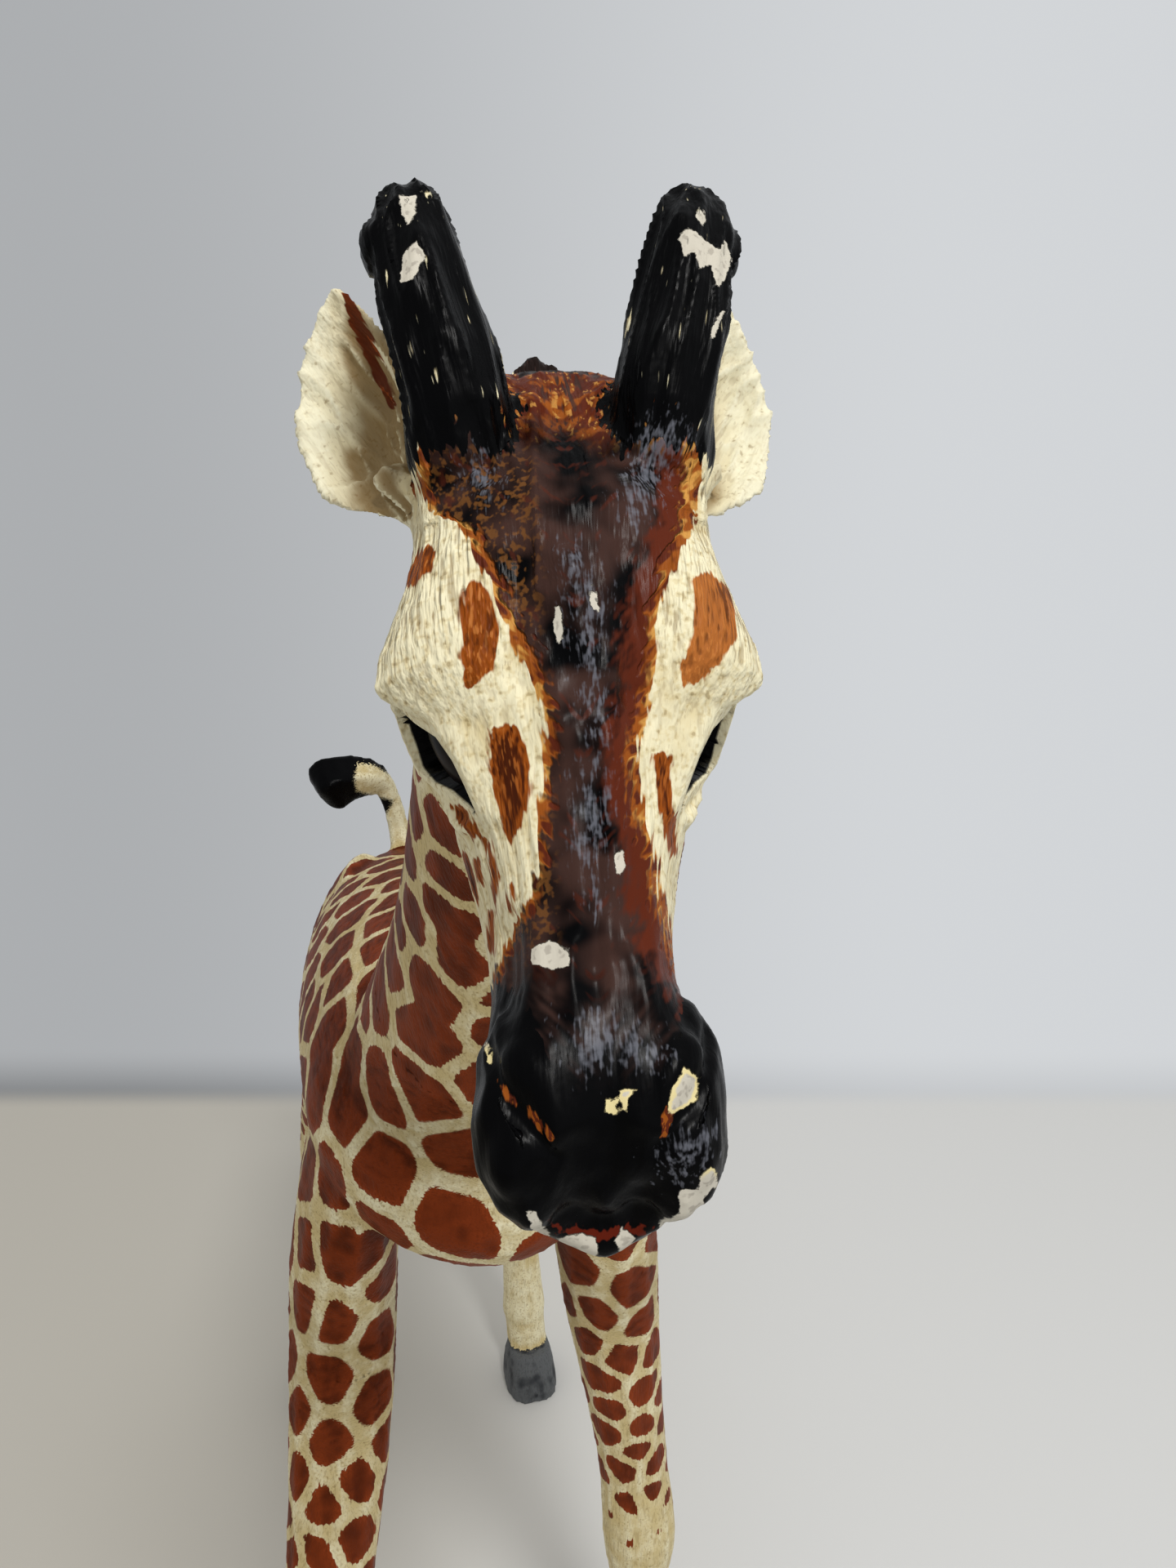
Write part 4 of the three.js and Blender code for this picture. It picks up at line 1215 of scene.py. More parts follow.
@dataclass
class Head:
    """The head with its ears and ossicones."""

    voxel: float = 0.17
    evening_rounds: int = 14
    filling_rounds: int = 60
    root_rounds: int = 30
    filling_keep: float = 0.2
    mask_reach: float = 2.4
    horn_border: Span = (0.2, 1.8)
    ear_border: Span = (0.1, 1.6)
    relief_depth: float = 0.05
    hair_stretch: float = 0.13
    horn_stretch: float = 0.12
    ear_stretch: float = 0.15
    ridge_width: float = 0.72
    ridge_depth: float = 0.19
    layout: FaceLayout = FaceLayout()
    eye: EyeSeat = EyeSeat()
    horn_axis: Place = (0.19, 0.2, -0.96)
    ear_axis: Place = (-0.5, 0.15, 0.85)
    black_from: float = 4.0
    horn_root: Place = (4.2, -0.4, 2.2)
    ear_root: Place = (6.6, -2.6, 2.6)
    ear_shift: Place = (-0.25, 0, -0.55)
    pit: Place = (2.3, -0.8, 27.7)
    pit_reach: float = 2.5
    skin: Skin = field(init=False)
    horn_gap: np.ndarray = field(init=False)
    ear_gap: np.ndarray = field(init=False)
    horn: np.ndarray = field(init=False)
    ear: np.ndarray = field(init=False)
    socket: np.ndarray = field(init=False)
    hair: np.ndarray = field(init=False)

    @property
    def nodes(self) -> tuple[str, ...]:
        """Names the mouldings of the head's skin, with the neck that it runs on into."""
        return ("head", "ear_left", "ear_right", "ossicone_left", "ossicone_right", "neck")

    def build(self) -> None:
        """Covers the mouldings and models the surface."""
        skin = self.skin = Skin("head_skin", self.nodes, self.voxel)
        seam = seam_plane("head", skin.trees["neck"])
        skin.relax(self.evening_rounds)
        skin.cut(*seam)
        self.horn_gap = skin.nearness(("ossicone_left", "ossicone_right"), self.mask_reach)
        self.horn_gap = skin.spread(skin.spread(self.horn_gap))
        self.ear_gap = skin.spread(skin.nearness(("ear_left", "ear_right"), self.mask_reach))
        self.model()
        self.groove()

    def model(self) -> None:
        """Models the bridge, the muzzle and the eyes."""
        local = HEAD.local(self.skin.co)
        filled = np.maximum(*(self.fill_pit(local, hand) for hand in HANDS))
        self.skin.relax(self.filling_rounds, filled, self.filling_keep)
        roots = [np.linalg.norm(local - mirrored(self.ear_root, hand), axis=1) for hand in HANDS]
        self.skin.relax(self.root_rounds, smooth_step(2.2, 0.8, least(*roots)), self.filling_keep)
        ear = (1 - smooth_step(*self.ear_border, self.ear_gap)) * (local[:, 0] < 0)
        ear *= smooth_step(2.5, -6.0, local[:, 2])
        self.skin.co += ear[:, None] * (np.array(self.ear_shift) @ HEAD.axes)
        tree = self.skin.tree()
        for stroke in self.strokes():
            stroke.apply(self.skin, tree)
        self.skin.relax(2)
        self.socket = self.eye.shape(self.skin)

    def fill_pit(self, local: np.ndarray, hand: int) -> np.ndarray:
        """Lifts a nostril's floor to the surface round it, for its rims are thin lines in the photograph.

        Args:
            local: The skin's points in the head's own axes.
            hand: 1 for the left side and -1 for the right side.

        Returns:
            How far each point belongs to the pit, from 0 to 1.
        """
        middle = mirrored(self.pit, hand)
        away = np.linalg.norm(local - middle, axis=1)
        ring = (away > self.pit_reach) & (away < self.pit_reach + 1.2)
        out = (self.skin.normals()[ring]).mean(0)
        out /= np.linalg.norm(out)
        first = np.cross(out, HEAD.axes[2])
        first /= np.linalg.norm(first)
        ways = np.vstack([first, np.cross(out, first), out])
        a, b, height = ((self.skin.co - HEAD.world(middle)) @ ways.T).T
        terms = np.column_stack([np.ones(len(a)), a, b, a * a, a * b, b * b])
        fit = np.linalg.lstsq(terms[ring], height[ring], rcond=None)[0]
        weight = smooth_step(self.pit_reach, self.pit_reach - 0.8, away)
        lift = np.maximum(np.where(weight > 0, terms @ fit - height, 0), 0)
        self.skin.co += out * (lift * weight)[:, None]
        return smooth_step(self.pit_reach + 0.8, self.pit_reach - 0.5, away)

    @staticmethod
    def strokes() -> tuple[Stroke, ...]:
        """Lists the strokes of the modelling tool.

        Returns:
            The strokes, in the order in which they are made.
        """
        one = (1,)
        return (
            Stroke(((-0.38, 1.86, 9.2), (0.79, 1.17, 12.5), (0.99, 0.66, 14.5), (0.6, 0.14, 18.2)),
                   1.1, 0.2, one),
            Stroke(((-0.5, 1.86, 9.1), (-0.2, 1.86, 9.4)), 0.9, 0.22, one),
            Stroke(((0.3, 0.6, 15.2), (0.45, 0.14, 18.2), (0.03, 0.0, 23.3)), 0.5, -0.2, one),
            Stroke(((-0.36, 0.61, 15.3), (-0.73, -0.04, 22.4)), 0.8, 0.15, one),
            Stroke(((1.31, 0.33, 15.3), (0.84, -0.05, 22.5)), 0.8, 0.15, one),
            Stroke(((-0.89, -0.24, -0.2), (-0.99, 0.45, 1.5), (-1.15, 1.25, 4.3), (-1.32, 1.75, 7.5),
                    (-1.43, 1.49, 10.0)), 0.32, 0.16, one),
            Stroke(((2.0, 1.4, 8.8), (1.85, 0.5, 13.5)), 1.0, -0.2),
            Stroke(((3.8, -1.4, 25.6), (3.35, -0.5, 26.9), (2.5, -0.8, 27.9), (1.7, -0.8, 29.0)),
                   0.45, -0.16),
            Stroke(((2.9, -0.2, 26.2), (2.1, 0.0, 27.2), (1.35, -0.2, 28.3)), 0.8, 0.16),
            Stroke(((4.0, -1.4, 22.0), (4.4, -1.6, 24.5), (4.6, -1.8, 26.5)), 1.8, -0.3, (-1,)),
            Stroke(((2.7, -0.6, 29.1), (3.0, -0.6, 29.6)), 1.3, 0.3),
            Stroke(((0.0, -3.5, 31.6), (1.2, -3.3, 31.4), (2.3, -2.6, 30.9)), 1.2, 0.36),
            Stroke(((0.0, -2.9, 31.6), (1.0, -2.9, 31.5), (1.7, -2.4, 31.3)), 0.3, -0.16),
        )

    @staticmethod
    def sides(local: np.ndarray) -> np.ndarray:
        """Gives (1, 1, 1) for points on the left side and (-1, 1, 1) for those on the right."""
        return np.where(local[:, :1] < 0, (-1.0, 1.0, 1.0), (1.0, 1.0, 1.0))

    def drawn_out(self, local: np.ndarray, axis: Place, share: float) -> np.ndarray:
        """Squeezes places along an axis that is mirrored from side to side, for noise that runs along it.

        Args:
            local: Places in the head's own axes.
            axis: The axis on the left side.
            share: How much of the distance along the axis is left.

        Returns:
            The squeezed places.
        """
        ways = self.sides(local) * axis / np.linalg.norm(axis)
        along = (local * ways).sum(1, keepdims=True)
        return local - ways * along * (1 - share)

    def groove(self) -> None:
        """Gives the face its shallow hair, the ears their wrinkles and the ossicones their ridges."""
        skin, layout = self.skin, self.layout
        local = HEAD.local(skin.co)
        x, y, z = local.T
        normals = skin.normals()
        self.horn = 1 - smooth_step(*self.horn_border, self.horn_gap)
        self.ear = (1 - smooth_step(*self.ear_border, self.ear_gap)) * (1 - self.horn)
        muzzle = smooth_step(layout.muzzle_from, layout.muzzle_from + 3, z)
        bridge = smooth_step(2.6, 1.6, np.abs(x)) * smooth_step(4, 8, z) * (y > -3)
        bridge = np.maximum(bridge, 0.55 * muzzle)
        crown = smooth_step(4.5, 1.0, z) * smooth_step(-8.0, -4.5, y)
        face = Grain(3).strands(local * (2.0, 2.0, 0.3)) * (1 - 0.6 * muzzle) * self.relief_depth
        face += Grain(41).at(local * (1.2, 1.2, 0.5)) * 0.2 * bridge
        face += Grain(43).at(local * (2.4, 2.4, 0.8)) * 0.07 * bridge
        face += Grain(23).strands(local * (1.3, 1.3, 0.35)) * 0.15 * crown
        ridges = self.drawn_out(local, self.horn_axis, self.horn_stretch) / self.ridge_width
        ridges = Grain(31).strands(ridges) * self.ridge_depth
        ridges += Grain(12).at(self.drawn_out(local, self.horn_axis, 0.4) / 1.1) * 0.1
        wrinkles = Grain(17).strands(self.drawn_out(local, self.ear_axis, 0.25) / 0.75) * 0.21
        wrinkles *= smooth_step(-12.0, -2.0, z)
        plain = (1 - self.horn) * (1 - self.ear) * (self.socket < -0.8)
        push = face * plain + ridges * self.horn + wrinkles * self.ear
        skin.co += normals * push[:, None]
        drawn = np.array([1, 1, self.hair_stretch])
        self.hair = local * drawn
        self.hair[:, 1] *= 1 - 0.7 * smooth_step(4, 1.5, z)
        for mask, root, axis, share in (
            (self.horn, self.horn_root, self.horn_axis, self.horn_stretch),
            (self.ear, self.ear_root, self.ear_axis, self.ear_stretch),
        ):
            start = self.sides(local) * root
            other = self.drawn_out(local, axis, share) - self.drawn_out(start, axis, share) + start * drawn
            self.hair += (other - self.hair) * smooth_step(0.1, 0.9, mask)[:, None]

    @staticmethod
    def inside_any(outlines: tuple[Outline, ...], pixels: np.ndarray, seen: np.ndarray) -> np.ndarray:
        """Measures how far points lie inside the nearest of some outlines.

        Args:
            outlines: The outlines, in the photograph's pixels.
            pixels: Where the photograph shows the points.
            seen: Which of the points it can show.

        Returns:
            The depth inside an outline in pixels for each point, below 0 outside.
        """
        depths = [outline_distance(pixels, outline) for outline in outlines]
        return np.where(seen, np.max(depths, axis=0), NOWHERE)

    def nape(self) -> np.ndarray:
        """Tells how far each point lies inside the throat and the nape, where the neck's net goes on."""
        local = HEAD.local(self.skin.co)
        return -8.0 - 0.5 * local[:, 2] - local[:, 1]

    def paint(self, net: np.ndarray) -> None:
        """Works out where each coat of paint lies.

        Args:
            net: How far each point lies inside a patch of the neck's net.
        """
        skin, layout = self.skin, self.layout
        local = HEAD.local(skin.co)
        x, y, z = local.T
        nape = self.nape()
        coat = smooth_step(-1.0, 1.5, nape)
        pixels, normals = VIEW.pixels(skin.co), skin.normals()
        facing = (normals @ HEAD.axes[1] > -0.25) & (z > -1)
        seen = normals @ -VIEW.axes[2] > 0.03
        left = layout.across(layout.stripe_left, pixels[:, 1])
        right = layout.across(layout.stripe_right, pixels[:, 1])
        stripe = np.minimum(pixels[:, 0] - left, right - pixels[:, 0]) * pixels[:, 2] / VIEW.focal_pixels
        stripe = least(stripe, y - layout.face_floor, z + 2.6)
        stripe[(self.ear > 0.5) | ((self.horn_gap < 0.15) & (z < self.black_from - 1.8))] = NOWHERE
        patch = np.maximum(
            self.inside_any(layout.patches, pixels, facing),
            self.inside_any(layout.jaw_patches, pixels, seen & (z > 10)),
        )
        wobble = Grain(25).at(local / 1.6) * 0.5
        for spot_y, spot_z, radius in layout.cheek_spots:
            spot = radius + wobble - np.hypot(y - spot_y, (z - spot_z) * 0.8)
            patch = np.maximum(patch, np.where(np.abs(x) > 1.2, spot, NOWHERE))
        patch = np.where(nape > 0, np.minimum(net, nape * 1.5), np.minimum(patch, -nape * 1.5))
        patch[self.ear > 0.3] = NOWHERE
        crest = least(1.5 - np.abs(x), -1.0 - z, y + 9)
        back = least(1.3 - np.abs(x - 0.092 * y), (-normals @ HEAD.axes[2] - 0.35) * 6, -7.0 - y)
        lobe = layout.lobe_length * np.exp(-(((x - layout.lobe_middle) / layout.lobe_half_width) ** 4))
        tips = np.minimum(0.4 - self.horn_gap, self.black_from - z)
        worn = {
            "chip": layout.chips,
            "scratch": layout.scratches,
            "lip": layout.lip_line,
            "painted_highlight": layout.painted_highlights,
        }
        coats = {
            "stripe": stripe,
            "patch": np.maximum(patch, self.inside_any(layout.ear_folds, pixels, self.ear > 0.3)),
            "black": np.maximum(z - layout.muzzle_from - lobe, tips),
            "socket": self.socket,
            "mane": np.maximum(crest, back),
            **{name: self.inside_any(outlines, pixels, seen) for name, outlines in worn.items()},
        }
        hairy = np.clip(1.0 - 0.66 * smooth_step(10, 14, z) - 0.72 * self.ear, 0.22, 1)
        for mask in (self.horn, self.ear):
            hairy *= 1 - np.exp(-(((mask - 0.5) / 0.25) ** 2))
        store_coats(skin, coats, hairy * (1 - coat) + 0.32 * coat, self.hair, local)
        self.tint(local, normals, coat)

    def tint(self, local: np.ndarray, normals: np.ndarray, coat: np.ndarray) -> None:
        """Works out how the coats of paint change from place to place, with painted shade in the ears'
        hollows and painted light on the face's left side.

        Args:
            local: The skin's points in the head's own axes.
            normals: Their outward directions.
            coat: How far each of them belongs to the neck's coat, from 0 to 1.
        """
        x, y, z = local.T
        # Painted light: on the left side of the upper face, where the light falls, the patches are paler and
        # thinner.
        painted_lit_side = smooth_step(15.0, 13.5, z) * (x > 0)
        left_fringe = np.interp(z, [2, 6, 10], [1.0, 0.8, 0.4])
        right_fringe = np.interp(z, [2, 6, 12, 16, 19], [0.6, 0.45, 0.6, 0.35, 0.25])
        golden = smooth_step(3.0, 5.0, z) * smooth_step(12.5, 10.5, z)
        golden += smooth_step(14, 16, z) * smooth_step(24, 21, z)
        # Painted shade in the ears' hollows, deeper on the right ear, which is turned from the light; each
        # ear as a whole is made a little paler.
        painted_ear_shade_and_tone = np.where(x < 0, smooth_step(10.6, 7.8, -x) * 2.4, smooth_step(8.6, 7.2, x) * 1.6)
        painted_ear_shade_and_tone = self.ear * (painted_ear_shade_and_tone * (normals @ HEAD.axes[1] > 0.2) - 0.35)
        lobe = np.abs(x - self.layout.lobe_middle) * 0.45 + z - 23.6
        dash_along = (z * 0.77 - np.abs(x) * 0.64) * 0.35
        self.skin.store(
            face=(1 - 0.8 * self.ear + 0.3 * painted_lit_side) * (1 - coat),
            fringe=np.where(x > 0, left_fringe, right_fringe),
            dusk=np.clip(lobe * 0.3, -1.5, 1.0),
            thick=smooth_step(12, 14, z) - 0.35 * painted_lit_side,
            ring=smooth_step(25.4, 25.8, z) * smooth_step(30.4, 30.0, z),
            pale=0.5 * self.ear,
            crown=1 - smooth_step(1.4, 4.2, z + Grain(9).at(local / 1.2)),
            speckle=smooth_step(-0.9, -1.6, x) * golden,
            side=smooth_step(0.2, 0.8, x),
            shade=painted_ear_shade_and_tone + coat * coat_shade(self.skin.co),
            dash_at=np.column_stack([np.abs(x) * 0.77 + z * 0.64, y * 0.5, dash_along]),
        )

    def finish(self, paint: bpy.types.Material) -> None:
        """Cuts the skin into its pieces and sets the eyes in the head's own mesh.

        Args:
            paint: The material of the pieces.
        """
        slots = {
            "head": "face_paint",
            "ear_left": "ear_paint",
            "ear_right": "ear_paint",
            "ossicone_left": "ossicone_paint",
            "ossicone_right": "ossicone_paint",
        }
        head = self.skin.pieces(slots, paint)["head"].data
        head.materials.append(EyeBlack().make())
        with editing(head) as whole:
            for hand in HANDS:
                ball = bmesh.ops.create_uvsphere(
                    whole, u_segments=32, v_segments=20, radius=1, matrix=self.eye.placing(hand)
                )
                for face in {face for vert in ball["verts"] for face in vert.link_faces}:
                    face.material_index = 1
                    face.smooth = True


def coat_shade(points: np.ndarray) -> np.ndarray:
    """Gives how much darker the body's paint lies from place to place."""
    return 0.5 + 0.3 * Grain(5).at(points / 9.0)


@dataclass
class Body:
    """The torso, the neck, the legs and the tail."""

    voxel: float = 0.42
    evening_rounds: int = 12
    groove_width: float = 1.1
    groove_length: float = 6.0
    groove_depth: float = 0.06
    hoof_height: float = 7.6
    net_rounding: float = 0.3
    net_neighbours: int = 8
    net_batch: int = 8192
    net_foot: float = 33.0
    mane_half_width: float = 1.3
    skin: Skin = field(init=False)
    seeds: np.ndarray = field(init=False)
    names: np.ndarray = field(init=False)

    @property
    def nodes(self) -> tuple[str, ...]:
        """Names the mouldings of the body's skin, with the head that it runs on into."""
        legs = tuple(f"{end}_{side}_leg" for end in ("front", "rear") for side in ("left", "right"))
        return ("torso", "neck", *legs, "tail", "head")

    def build(self) -> None:
        """Covers the mouldings and cuts the hair grooves."""
        skin = self.skin = Skin("body_skin", self.nodes, self.voxel)
        seam = seam_plane("neck", skin.trees["head"])
        skin.relax(self.evening_rounds)
        skin.cut(*seam)
        relief = Grain(7).strands(self.hair(skin.co) / self.groove_width) * self.groove_depth
        skin.co += skin.normals() * relief[:, None]

    def hair(self, points: np.ndarray) -> np.ndarray:
        """Gives places for the hair's noise, drawn out along the legs, the neck and the trunk.

        Args:
            points: Places on the body.

        Returns:
            One place in the noise for each.
        """
        z = points[:, 2]
        stretch = self.groove_width / self.groove_length
        upright = np.maximum(1 - smooth_step(70, 84, z), smooth_step(100, 112, z))[:, None]
        return points * (1, 1, stretch) * upright + points * (1, stretch, 1) * (1 - upright)

    @staticmethod
    def spacing(points: np.ndarray) -> np.ndarray:
        """Gives the size of the patches in each region.

        Args:
            points: Places on the body.

        Returns:
            One size for each.
        """
        z = points[:, 2]
        legs = np.interp(z, [20, 45, 70, 85], [2.7, 3.1, 3.8, 5.4])
        neck = np.interp(z, [105, 125, 150], [5.4, 4.6, 3.8])
        return np.where(z < 85, legs, np.where(z > 105, neck, 5.6))

    def lay_patches(self, nape: np.ndarray) -> None:
        """Places the patches of the coat.

        Args:
            nape: Points of the head's skin on which the neck's patches go on.
        """
        seeds, names = self.seen_patches(self.skin.tree())
        for zone in (self.skin.co[self.skin.co[:, 2] > 18], nape):
            more = scatter(zone, self.spacing(zone), seeds)
            names = np.concatenate([names, names.max() + 1 + np.arange(len(more))])
            seeds = np.vstack([seeds, more + Grain(21).at(more / 3.0)[:, None] * 0.6])
        self.seeds, self.names = seeds, names

    def net(self, points: np.ndarray) -> np.ndarray:
        """Measures how far points lie inside the patches, with the cream net left free between them.

        Args:
            points: An N by 3 array in millimetres.

        Returns:
            Millimetres, above 0 inside a patch and below 0 in the net.
        """
        inside = np.empty(len(points))
        for part in np.array_split(np.arange(len(points)), len(points) // self.net_batch + 1):
            squares = ((points[part, None] - self.seeds) ** 2).sum(2)
            near = np.argpartition(squares, self.net_neighbours, axis=1)[:, : self.net_neighbours]
            squares = np.take_along_axis(squares, near, 1)
            own = np.take_along_axis(near, squares.argmin(1)[:, None], 1)
            apart = np.linalg.norm(self.seeds[near] - self.seeds[own], axis=2)
            border = (squares - squares.min(1, keepdims=True)) / (2 * np.maximum(apart, 1e-6))
            weights = np.exp(-border / self.net_rounding) * (self.names[near] != self.names[own])
            inside[part] = -self.net_rounding * np.log(np.maximum(weights.sum(1), 1e-12))
        z = points[:, 2]
        net = np.interp(z, [34, 42, 50, 60, 74, 84, 112, 140], [3, 1.4, 0.5, 0.42, 0.5, 0.72, 0.6, 0.45])
        return np.where(z < self.net_foot, NOWHERE, inside - net)

    def paint(self) -> None:
        """Works out where each coat of paint lies."""
        points = self.skin.co
        tail = smooth_step(1.2, 0.2, self.skin.nearness(("tail",), 2.4))
        cap = np.where(tail > 8 / 9, outline_distance(VIEW.pixels(points), TASSEL_CAP), NOWHERE)
        coats = {
            "patch": self.net(points) + tail * NOWHERE,
            "hoof": self.hoof_height - points[:, 2],
            "mane": self.mane(points),
            "black": np.maximum(self.tassel(points), cap),
        }
        store_coats(self.skin, coats, 0.32, self.hair(points), points)
        self.skin.store(shade=coat_shade(points))

    def mane(self, points: np.ndarray) -> np.ndarray:
        """Measures how far points lie inside the mane's paint.

        Args:
            points: Places on the body.

        Returns:
            The depth inside for each, below 0 outside.
        """
        low, high = (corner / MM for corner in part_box("neck"))
        foot, crown = Vector((0, high.y, low.z)), Vector((0, low.y, high.z))
        axis = (crown - foot).normalized()
        behind = (points - np.array(foot)) @ np.array((0, axis.z, -axis.y)) + 7.0
        side = self.mane_half_width - np.abs(points[:, 0] - (low.x + high.x) / 2)
        above = points[:, 2] - (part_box("torso")[1].z / MM - 10)
        return least(side, behind, above)

    @staticmethod
    def tassel(points: np.ndarray) -> np.ndarray:
        """Measures how far points lie inside the tassel's black paint.

        Args:
            points: Places on the body.

        Returns:
            The depth inside for each, below 0 outside.
        """
        low, high = (np.array(corner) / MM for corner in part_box("tail"))
        inside = np.all((points > low - 1) & (points < high + 1), axis=1)
        border = low[0] + (high[0] - low[0]) * 0.42
        return np.where(inside & (points[:, 2] > low[2] + 8), border - points[:, 0], NOWHERE)

    def seen_patches(self, tree: BVHTree) -> tuple[np.ndarray, np.ndarray]:
        """Places the patches that the photograph shows.

        Args:
            tree: The body's surface.

        Returns:
            The patches' points, and the number of the patch that each belongs to.
        """
        seeds, names = [], []
        for number, chain in enumerate(BODY_PATCHES):
            for pixel in chain:
                hit = tree.ray_cast(Vector(VIEW.place), VIEW.ray(pixel))[0]
                if hit is not None:
                    seeds.append(hit)
                    names.append(number)
        return np.array(seeds), np.array(names)

    def finish(self, paint: bpy.types.Material) -> None:
        """Cuts the skin into its pieces."""
        slots = {node: "spotted_coat" for node in self.nodes if node not in ("tail", "head")}
        self.skin.pieces({**slots, "tail": "tail_paint"}, paint)


# Where the tassel's black paint runs back over the stalk, in the photograph's pixels
TASSEL_CAP: Outline = (
    (370, 900), (405, 905), (430, 905), (455, 905), (482, 922), (500, 962), (478, 948), (455, 936),
    (438, 934), (434, 955), (437, 968), (455, 974), (482, 980), (474, 995), (445, 995), (420, 985),
    (395, 985), (370, 970),
)

# The middles of the patches that the photograph shows on the body, each a chain of pixels
BODY_PATCHES: tuple[Outline, ...] = (
    ((434, 1290), (428, 1355)), ((466, 1430),), ((415, 1535), (465, 1520)), ((556, 1497),), ((572, 1415),),
    ((530, 1575), (600, 1555)), ((700, 1550),), ((780, 1580),), ((519, 1200), (519, 1270)), ((518, 1340),),
    ((550, 1078),), ((550, 1120), (565, 1180)), ((400, 1255), (385, 1340)), ((376, 1440),), ((375, 1600),),
    ((405, 1625),), ((462, 1635),), ((352, 1690),), ((405, 1690),), ((458, 1715),), ((352, 1775),),
    ((402, 1768),), ((352, 1850),), ((398, 1845),), ((436, 1815),), ((432, 1885),), ((392, 1905),),
    ((730, 1610),), ((800, 1650),), ((735, 1690),), ((790, 1705),), ((788, 1745),), ((762, 1800),),
    ((805, 1790),), ((745, 1755),),
)


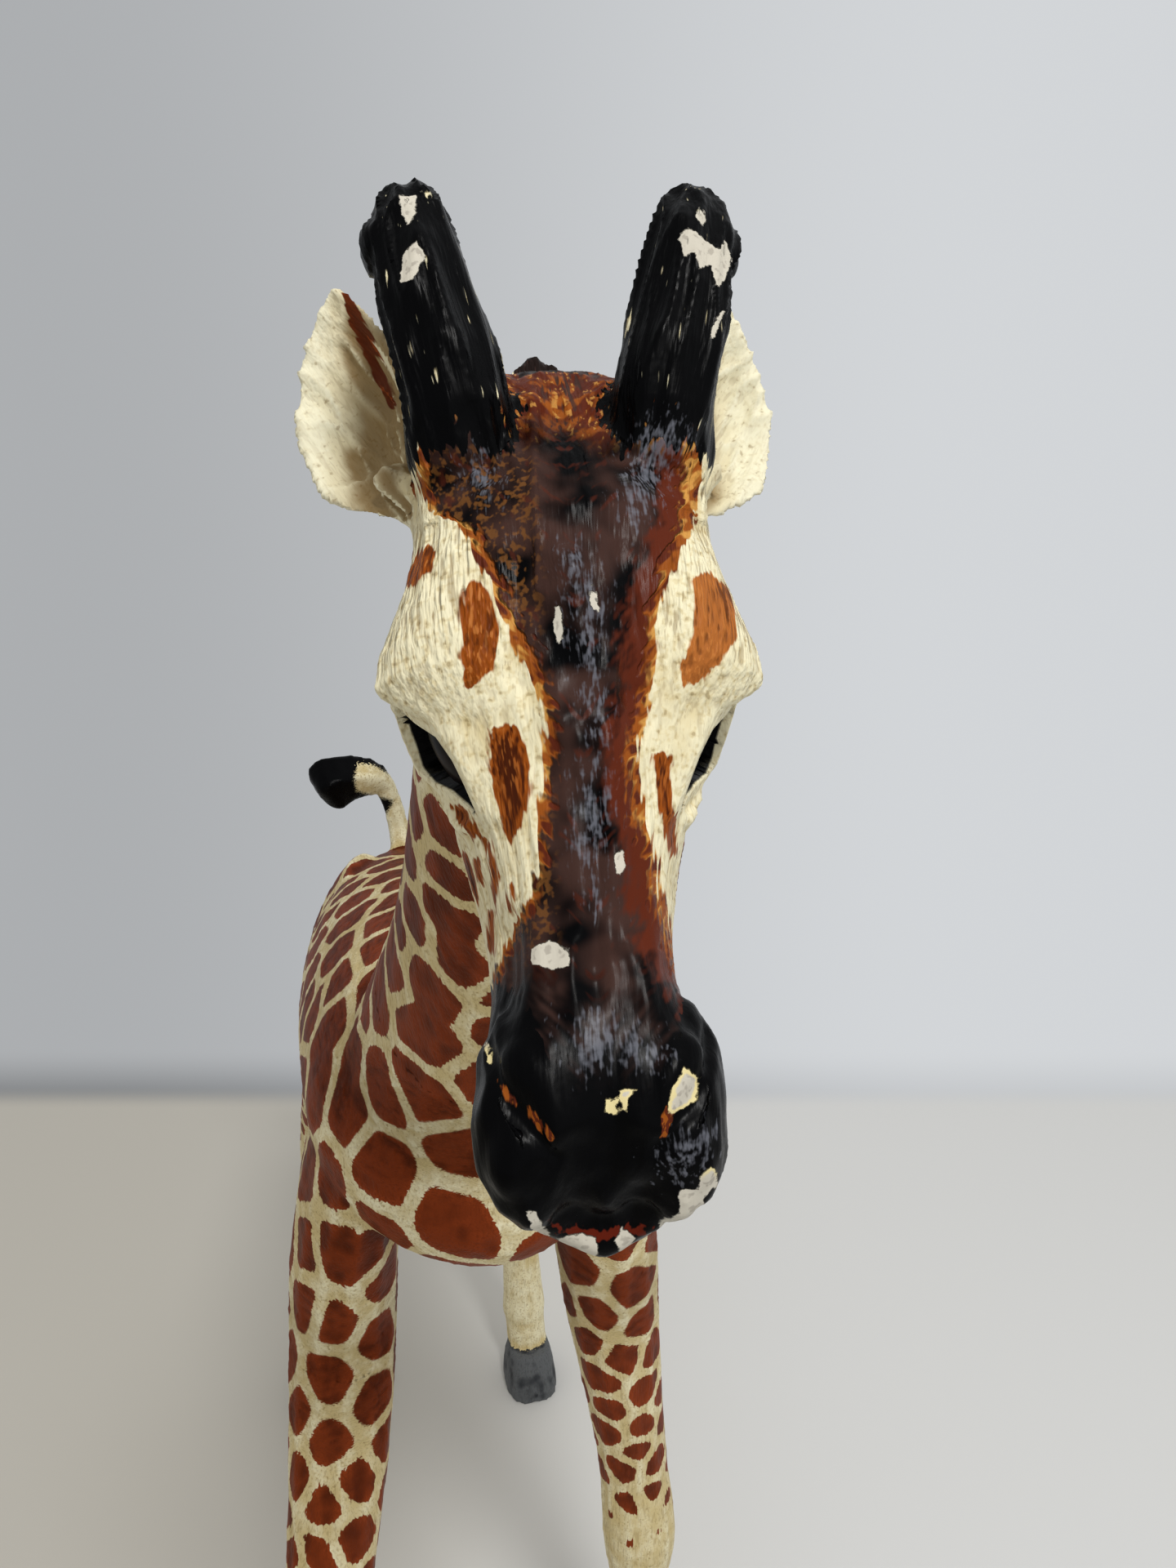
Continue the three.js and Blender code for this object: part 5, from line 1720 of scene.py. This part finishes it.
@dataclass(frozen=True)
class Studio:
    """The pale paper that the figure stands on, a soft overhead lamp and the light of the room."""

    floor_shaded_left: Place = (0.575, 0.56, 0.515)
    floor_lit_right: Place = (0.79, 0.81, 0.825)
    wall_tone: Place = (0.515, 0.53, 0.546)
    room_tone: Place = (1.0, 0.975, 0.93)
    room_low: float = 0.48
    room_high: float = 0.6
    shade_left: float = 0.8
    shade_right: float = 1.26
    wall_distance: float = 232.0
    wall_blur: float = 9.0
    fold_width: float = 26.0
    fold_light: Span = (0.76, -0.11)
    fall_across: Span = (-0.42, 0.3)
    paper_roughness: float = 0.9
    horizon: float = -0.2
    radius: float = 4000.0
    lamp_place: Place = (40, -222, 440)
    lamp_target: Place = (0, -50, 140)
    lamp_size: float = 92.0
    lamp_watts: float = 0.8
    lamp_tone: Place = (1.0, 0.985, 0.96)

    def build(self) -> None:
        """Makes the floor, the lamp and the world."""
        self.floor()
        self.lamp()
        bpy.context.scene.world = self.room()
        bpy.context.scene.view_settings.view_transform = "Standard"

    def floor(self) -> None:
        """Makes the floor, on which the tone changes where the photograph's wall begins."""
        mesh = bpy.data.meshes.new("floor")
        with editing(mesh) as whole:
            bmesh.ops.create_circle(whole, cap_ends=True, segments=64, radius=self.radius * MM)
        mesh.materials.append(self.paper())
        floor = add_object("floor", mesh)

    def paper(self) -> bpy.types.Material:
        """Makes the pale matt paper, darker and warmer to the left with painted shade, which takes the
        wall's glowing tone behind the fold.

        Returns:
            The paper's material.
        """
        paper = Layers(bpy.data.materials.new("paper"))
        place = paper.node("ShaderNodeTexCoord").outputs["Object"]
        ahead = VIEW.axes[2] * (1, 1, 0)
        ahead /= np.linalg.norm(ahead)
        along = paper.vector("DOT_PRODUCT", place, tuple(ahead))
        start = (float(VIEW.place @ ahead) + self.wall_distance) * MM
        away = paper.vector("SUBTRACT", place, tuple(VIEW.place * MM))
        light = self.fall(paper, paper.vector("NORMALIZE", away))
        fold = paper.step(along, start, start + self.fold_width * MM)
        # Painted shadow: the wall's glow dims along the fold, most on the left.
        fold = paper.even(fold, paper.plus(light, *self.fold_light), 1.0)
        # Painted light: the paper beyond the fold glows in the wall's tone, brighter to the right.
        glow = paper.node("ShaderNodeEmission", (*self.wall_tone, 1), paper.times(light, fold))
        wall = paper.times(paper.step(along, start, start + self.wall_blur * MM), self.looking(paper))
        # Painted shade: the floor's colour darkens and warms towards the left.
        share = paper.step(light, self.shade_left, self.shade_right)
        tone = paper.over((*self.floor_shaded_left, 1), (*self.floor_lit_right, 1), share)
        finish = {"Base Color": tone, "Roughness": self.paper_roughness}
        matt = paper.dress(paper.nodes["Principled BSDF"], finish)
        self.show(paper, "Material Output", wall, matt, glow)
        return paper.owner

    @staticmethod
    def show(layers: Layers, end: str, mask: Socket, below: bpy.types.Node, above: bpy.types.Node) -> None:
        """Covers one shader with another where a mask lets it through, and leads them to the output."""
        mixed = layers.node("ShaderNodeMixShader", mask, below.outputs[0], above.outputs[0])
        layers.dress(layers.nodes[end], {"Surface": mixed.outputs[0]})

    def fall(self, layers: Layers, direction: Socket) -> Socket:
        """Gives the light on the wall in a direction, from the darker left to the brighter right."""
        across = layers.vector("DOT_PRODUCT", direction, tuple(VIEW.axes[0]))
        return layers.step(across, *self.fall_across, self.shade_left, self.shade_right)

    @staticmethod
    def looking(layers: Layers) -> Socket:
        """Tells the rays that see the background, in the camera, in gloss or through glass.

        Args:
            layers: The nodes that ask.

        Returns:
            1 for such a ray, otherwise 0.
        """
        path = layers.node("ShaderNodeLightPath").outputs
        seen = layers.most(path["Is Camera Ray"], path["Is Glossy Ray"])
        return layers.most(seen, path["Is Transmission Ray"])

    def room(self) -> bpy.types.World:
        """Makes the room's light: brighter above than at the sides, and to the camera the wall's tone, with
        painted light from the darker left to the brighter right.

        Returns:
            The world that holds it.
        """
        room = Layers(bpy.data.worlds.new("room"))
        direction = room.node("ShaderNodeTexCoord").outputs["Generated"]
        height = room.node("ShaderNodeSeparateXYZ", direction).outputs["Z"]
        strength = room.step(height, self.horizon, 1.0, self.room_low, self.room_high, kind="LINEAR")
        light = room.dress(room.nodes["Background"], {"Color": (*self.room_tone, 1), "Strength": strength})
        wall = room.node("ShaderNodeBackground", (*self.wall_tone, 1), self.fall(room, direction))
        self.show(room, "World Output", self.looking(room), light, wall)
        return room.owner

    def lamp(self) -> None:
        """Adds the soft round lamp."""
        data = bpy.data.lights.new("overhead", "AREA")
        data.shape = "DISK"
        data.size = self.lamp_size * MM
        data.energy = self.lamp_watts
        data.color = self.lamp_tone
        lamp = add_object("overhead", data)
        lamp.visible_camera = False
        aim = Vector(self.lamp_target) - Vector(self.lamp_place)
        turn = aim.to_track_quat("-Z", "Y").to_matrix().to_4x4()
        lamp.matrix_world = Matrix.Translation(Vector(self.lamp_place) * MM) @ turn


def main() -> None:
    """Builds the figure and its studio."""
    logging.basicConfig(level=logging.INFO)
    VIEW.make_camera()
    Studio().build()
    paint = VinylPaint().make()
    head, body = Head(), Body()
    head.build()
    body.build()
    body.lay_patches(head.skin.co[head.nape() > 0])
    head.paint(body.net(head.skin.co))
    body.paint()
    head.finish(paint)
    body.finish(paint)


if __name__ == "__main__":
    main()
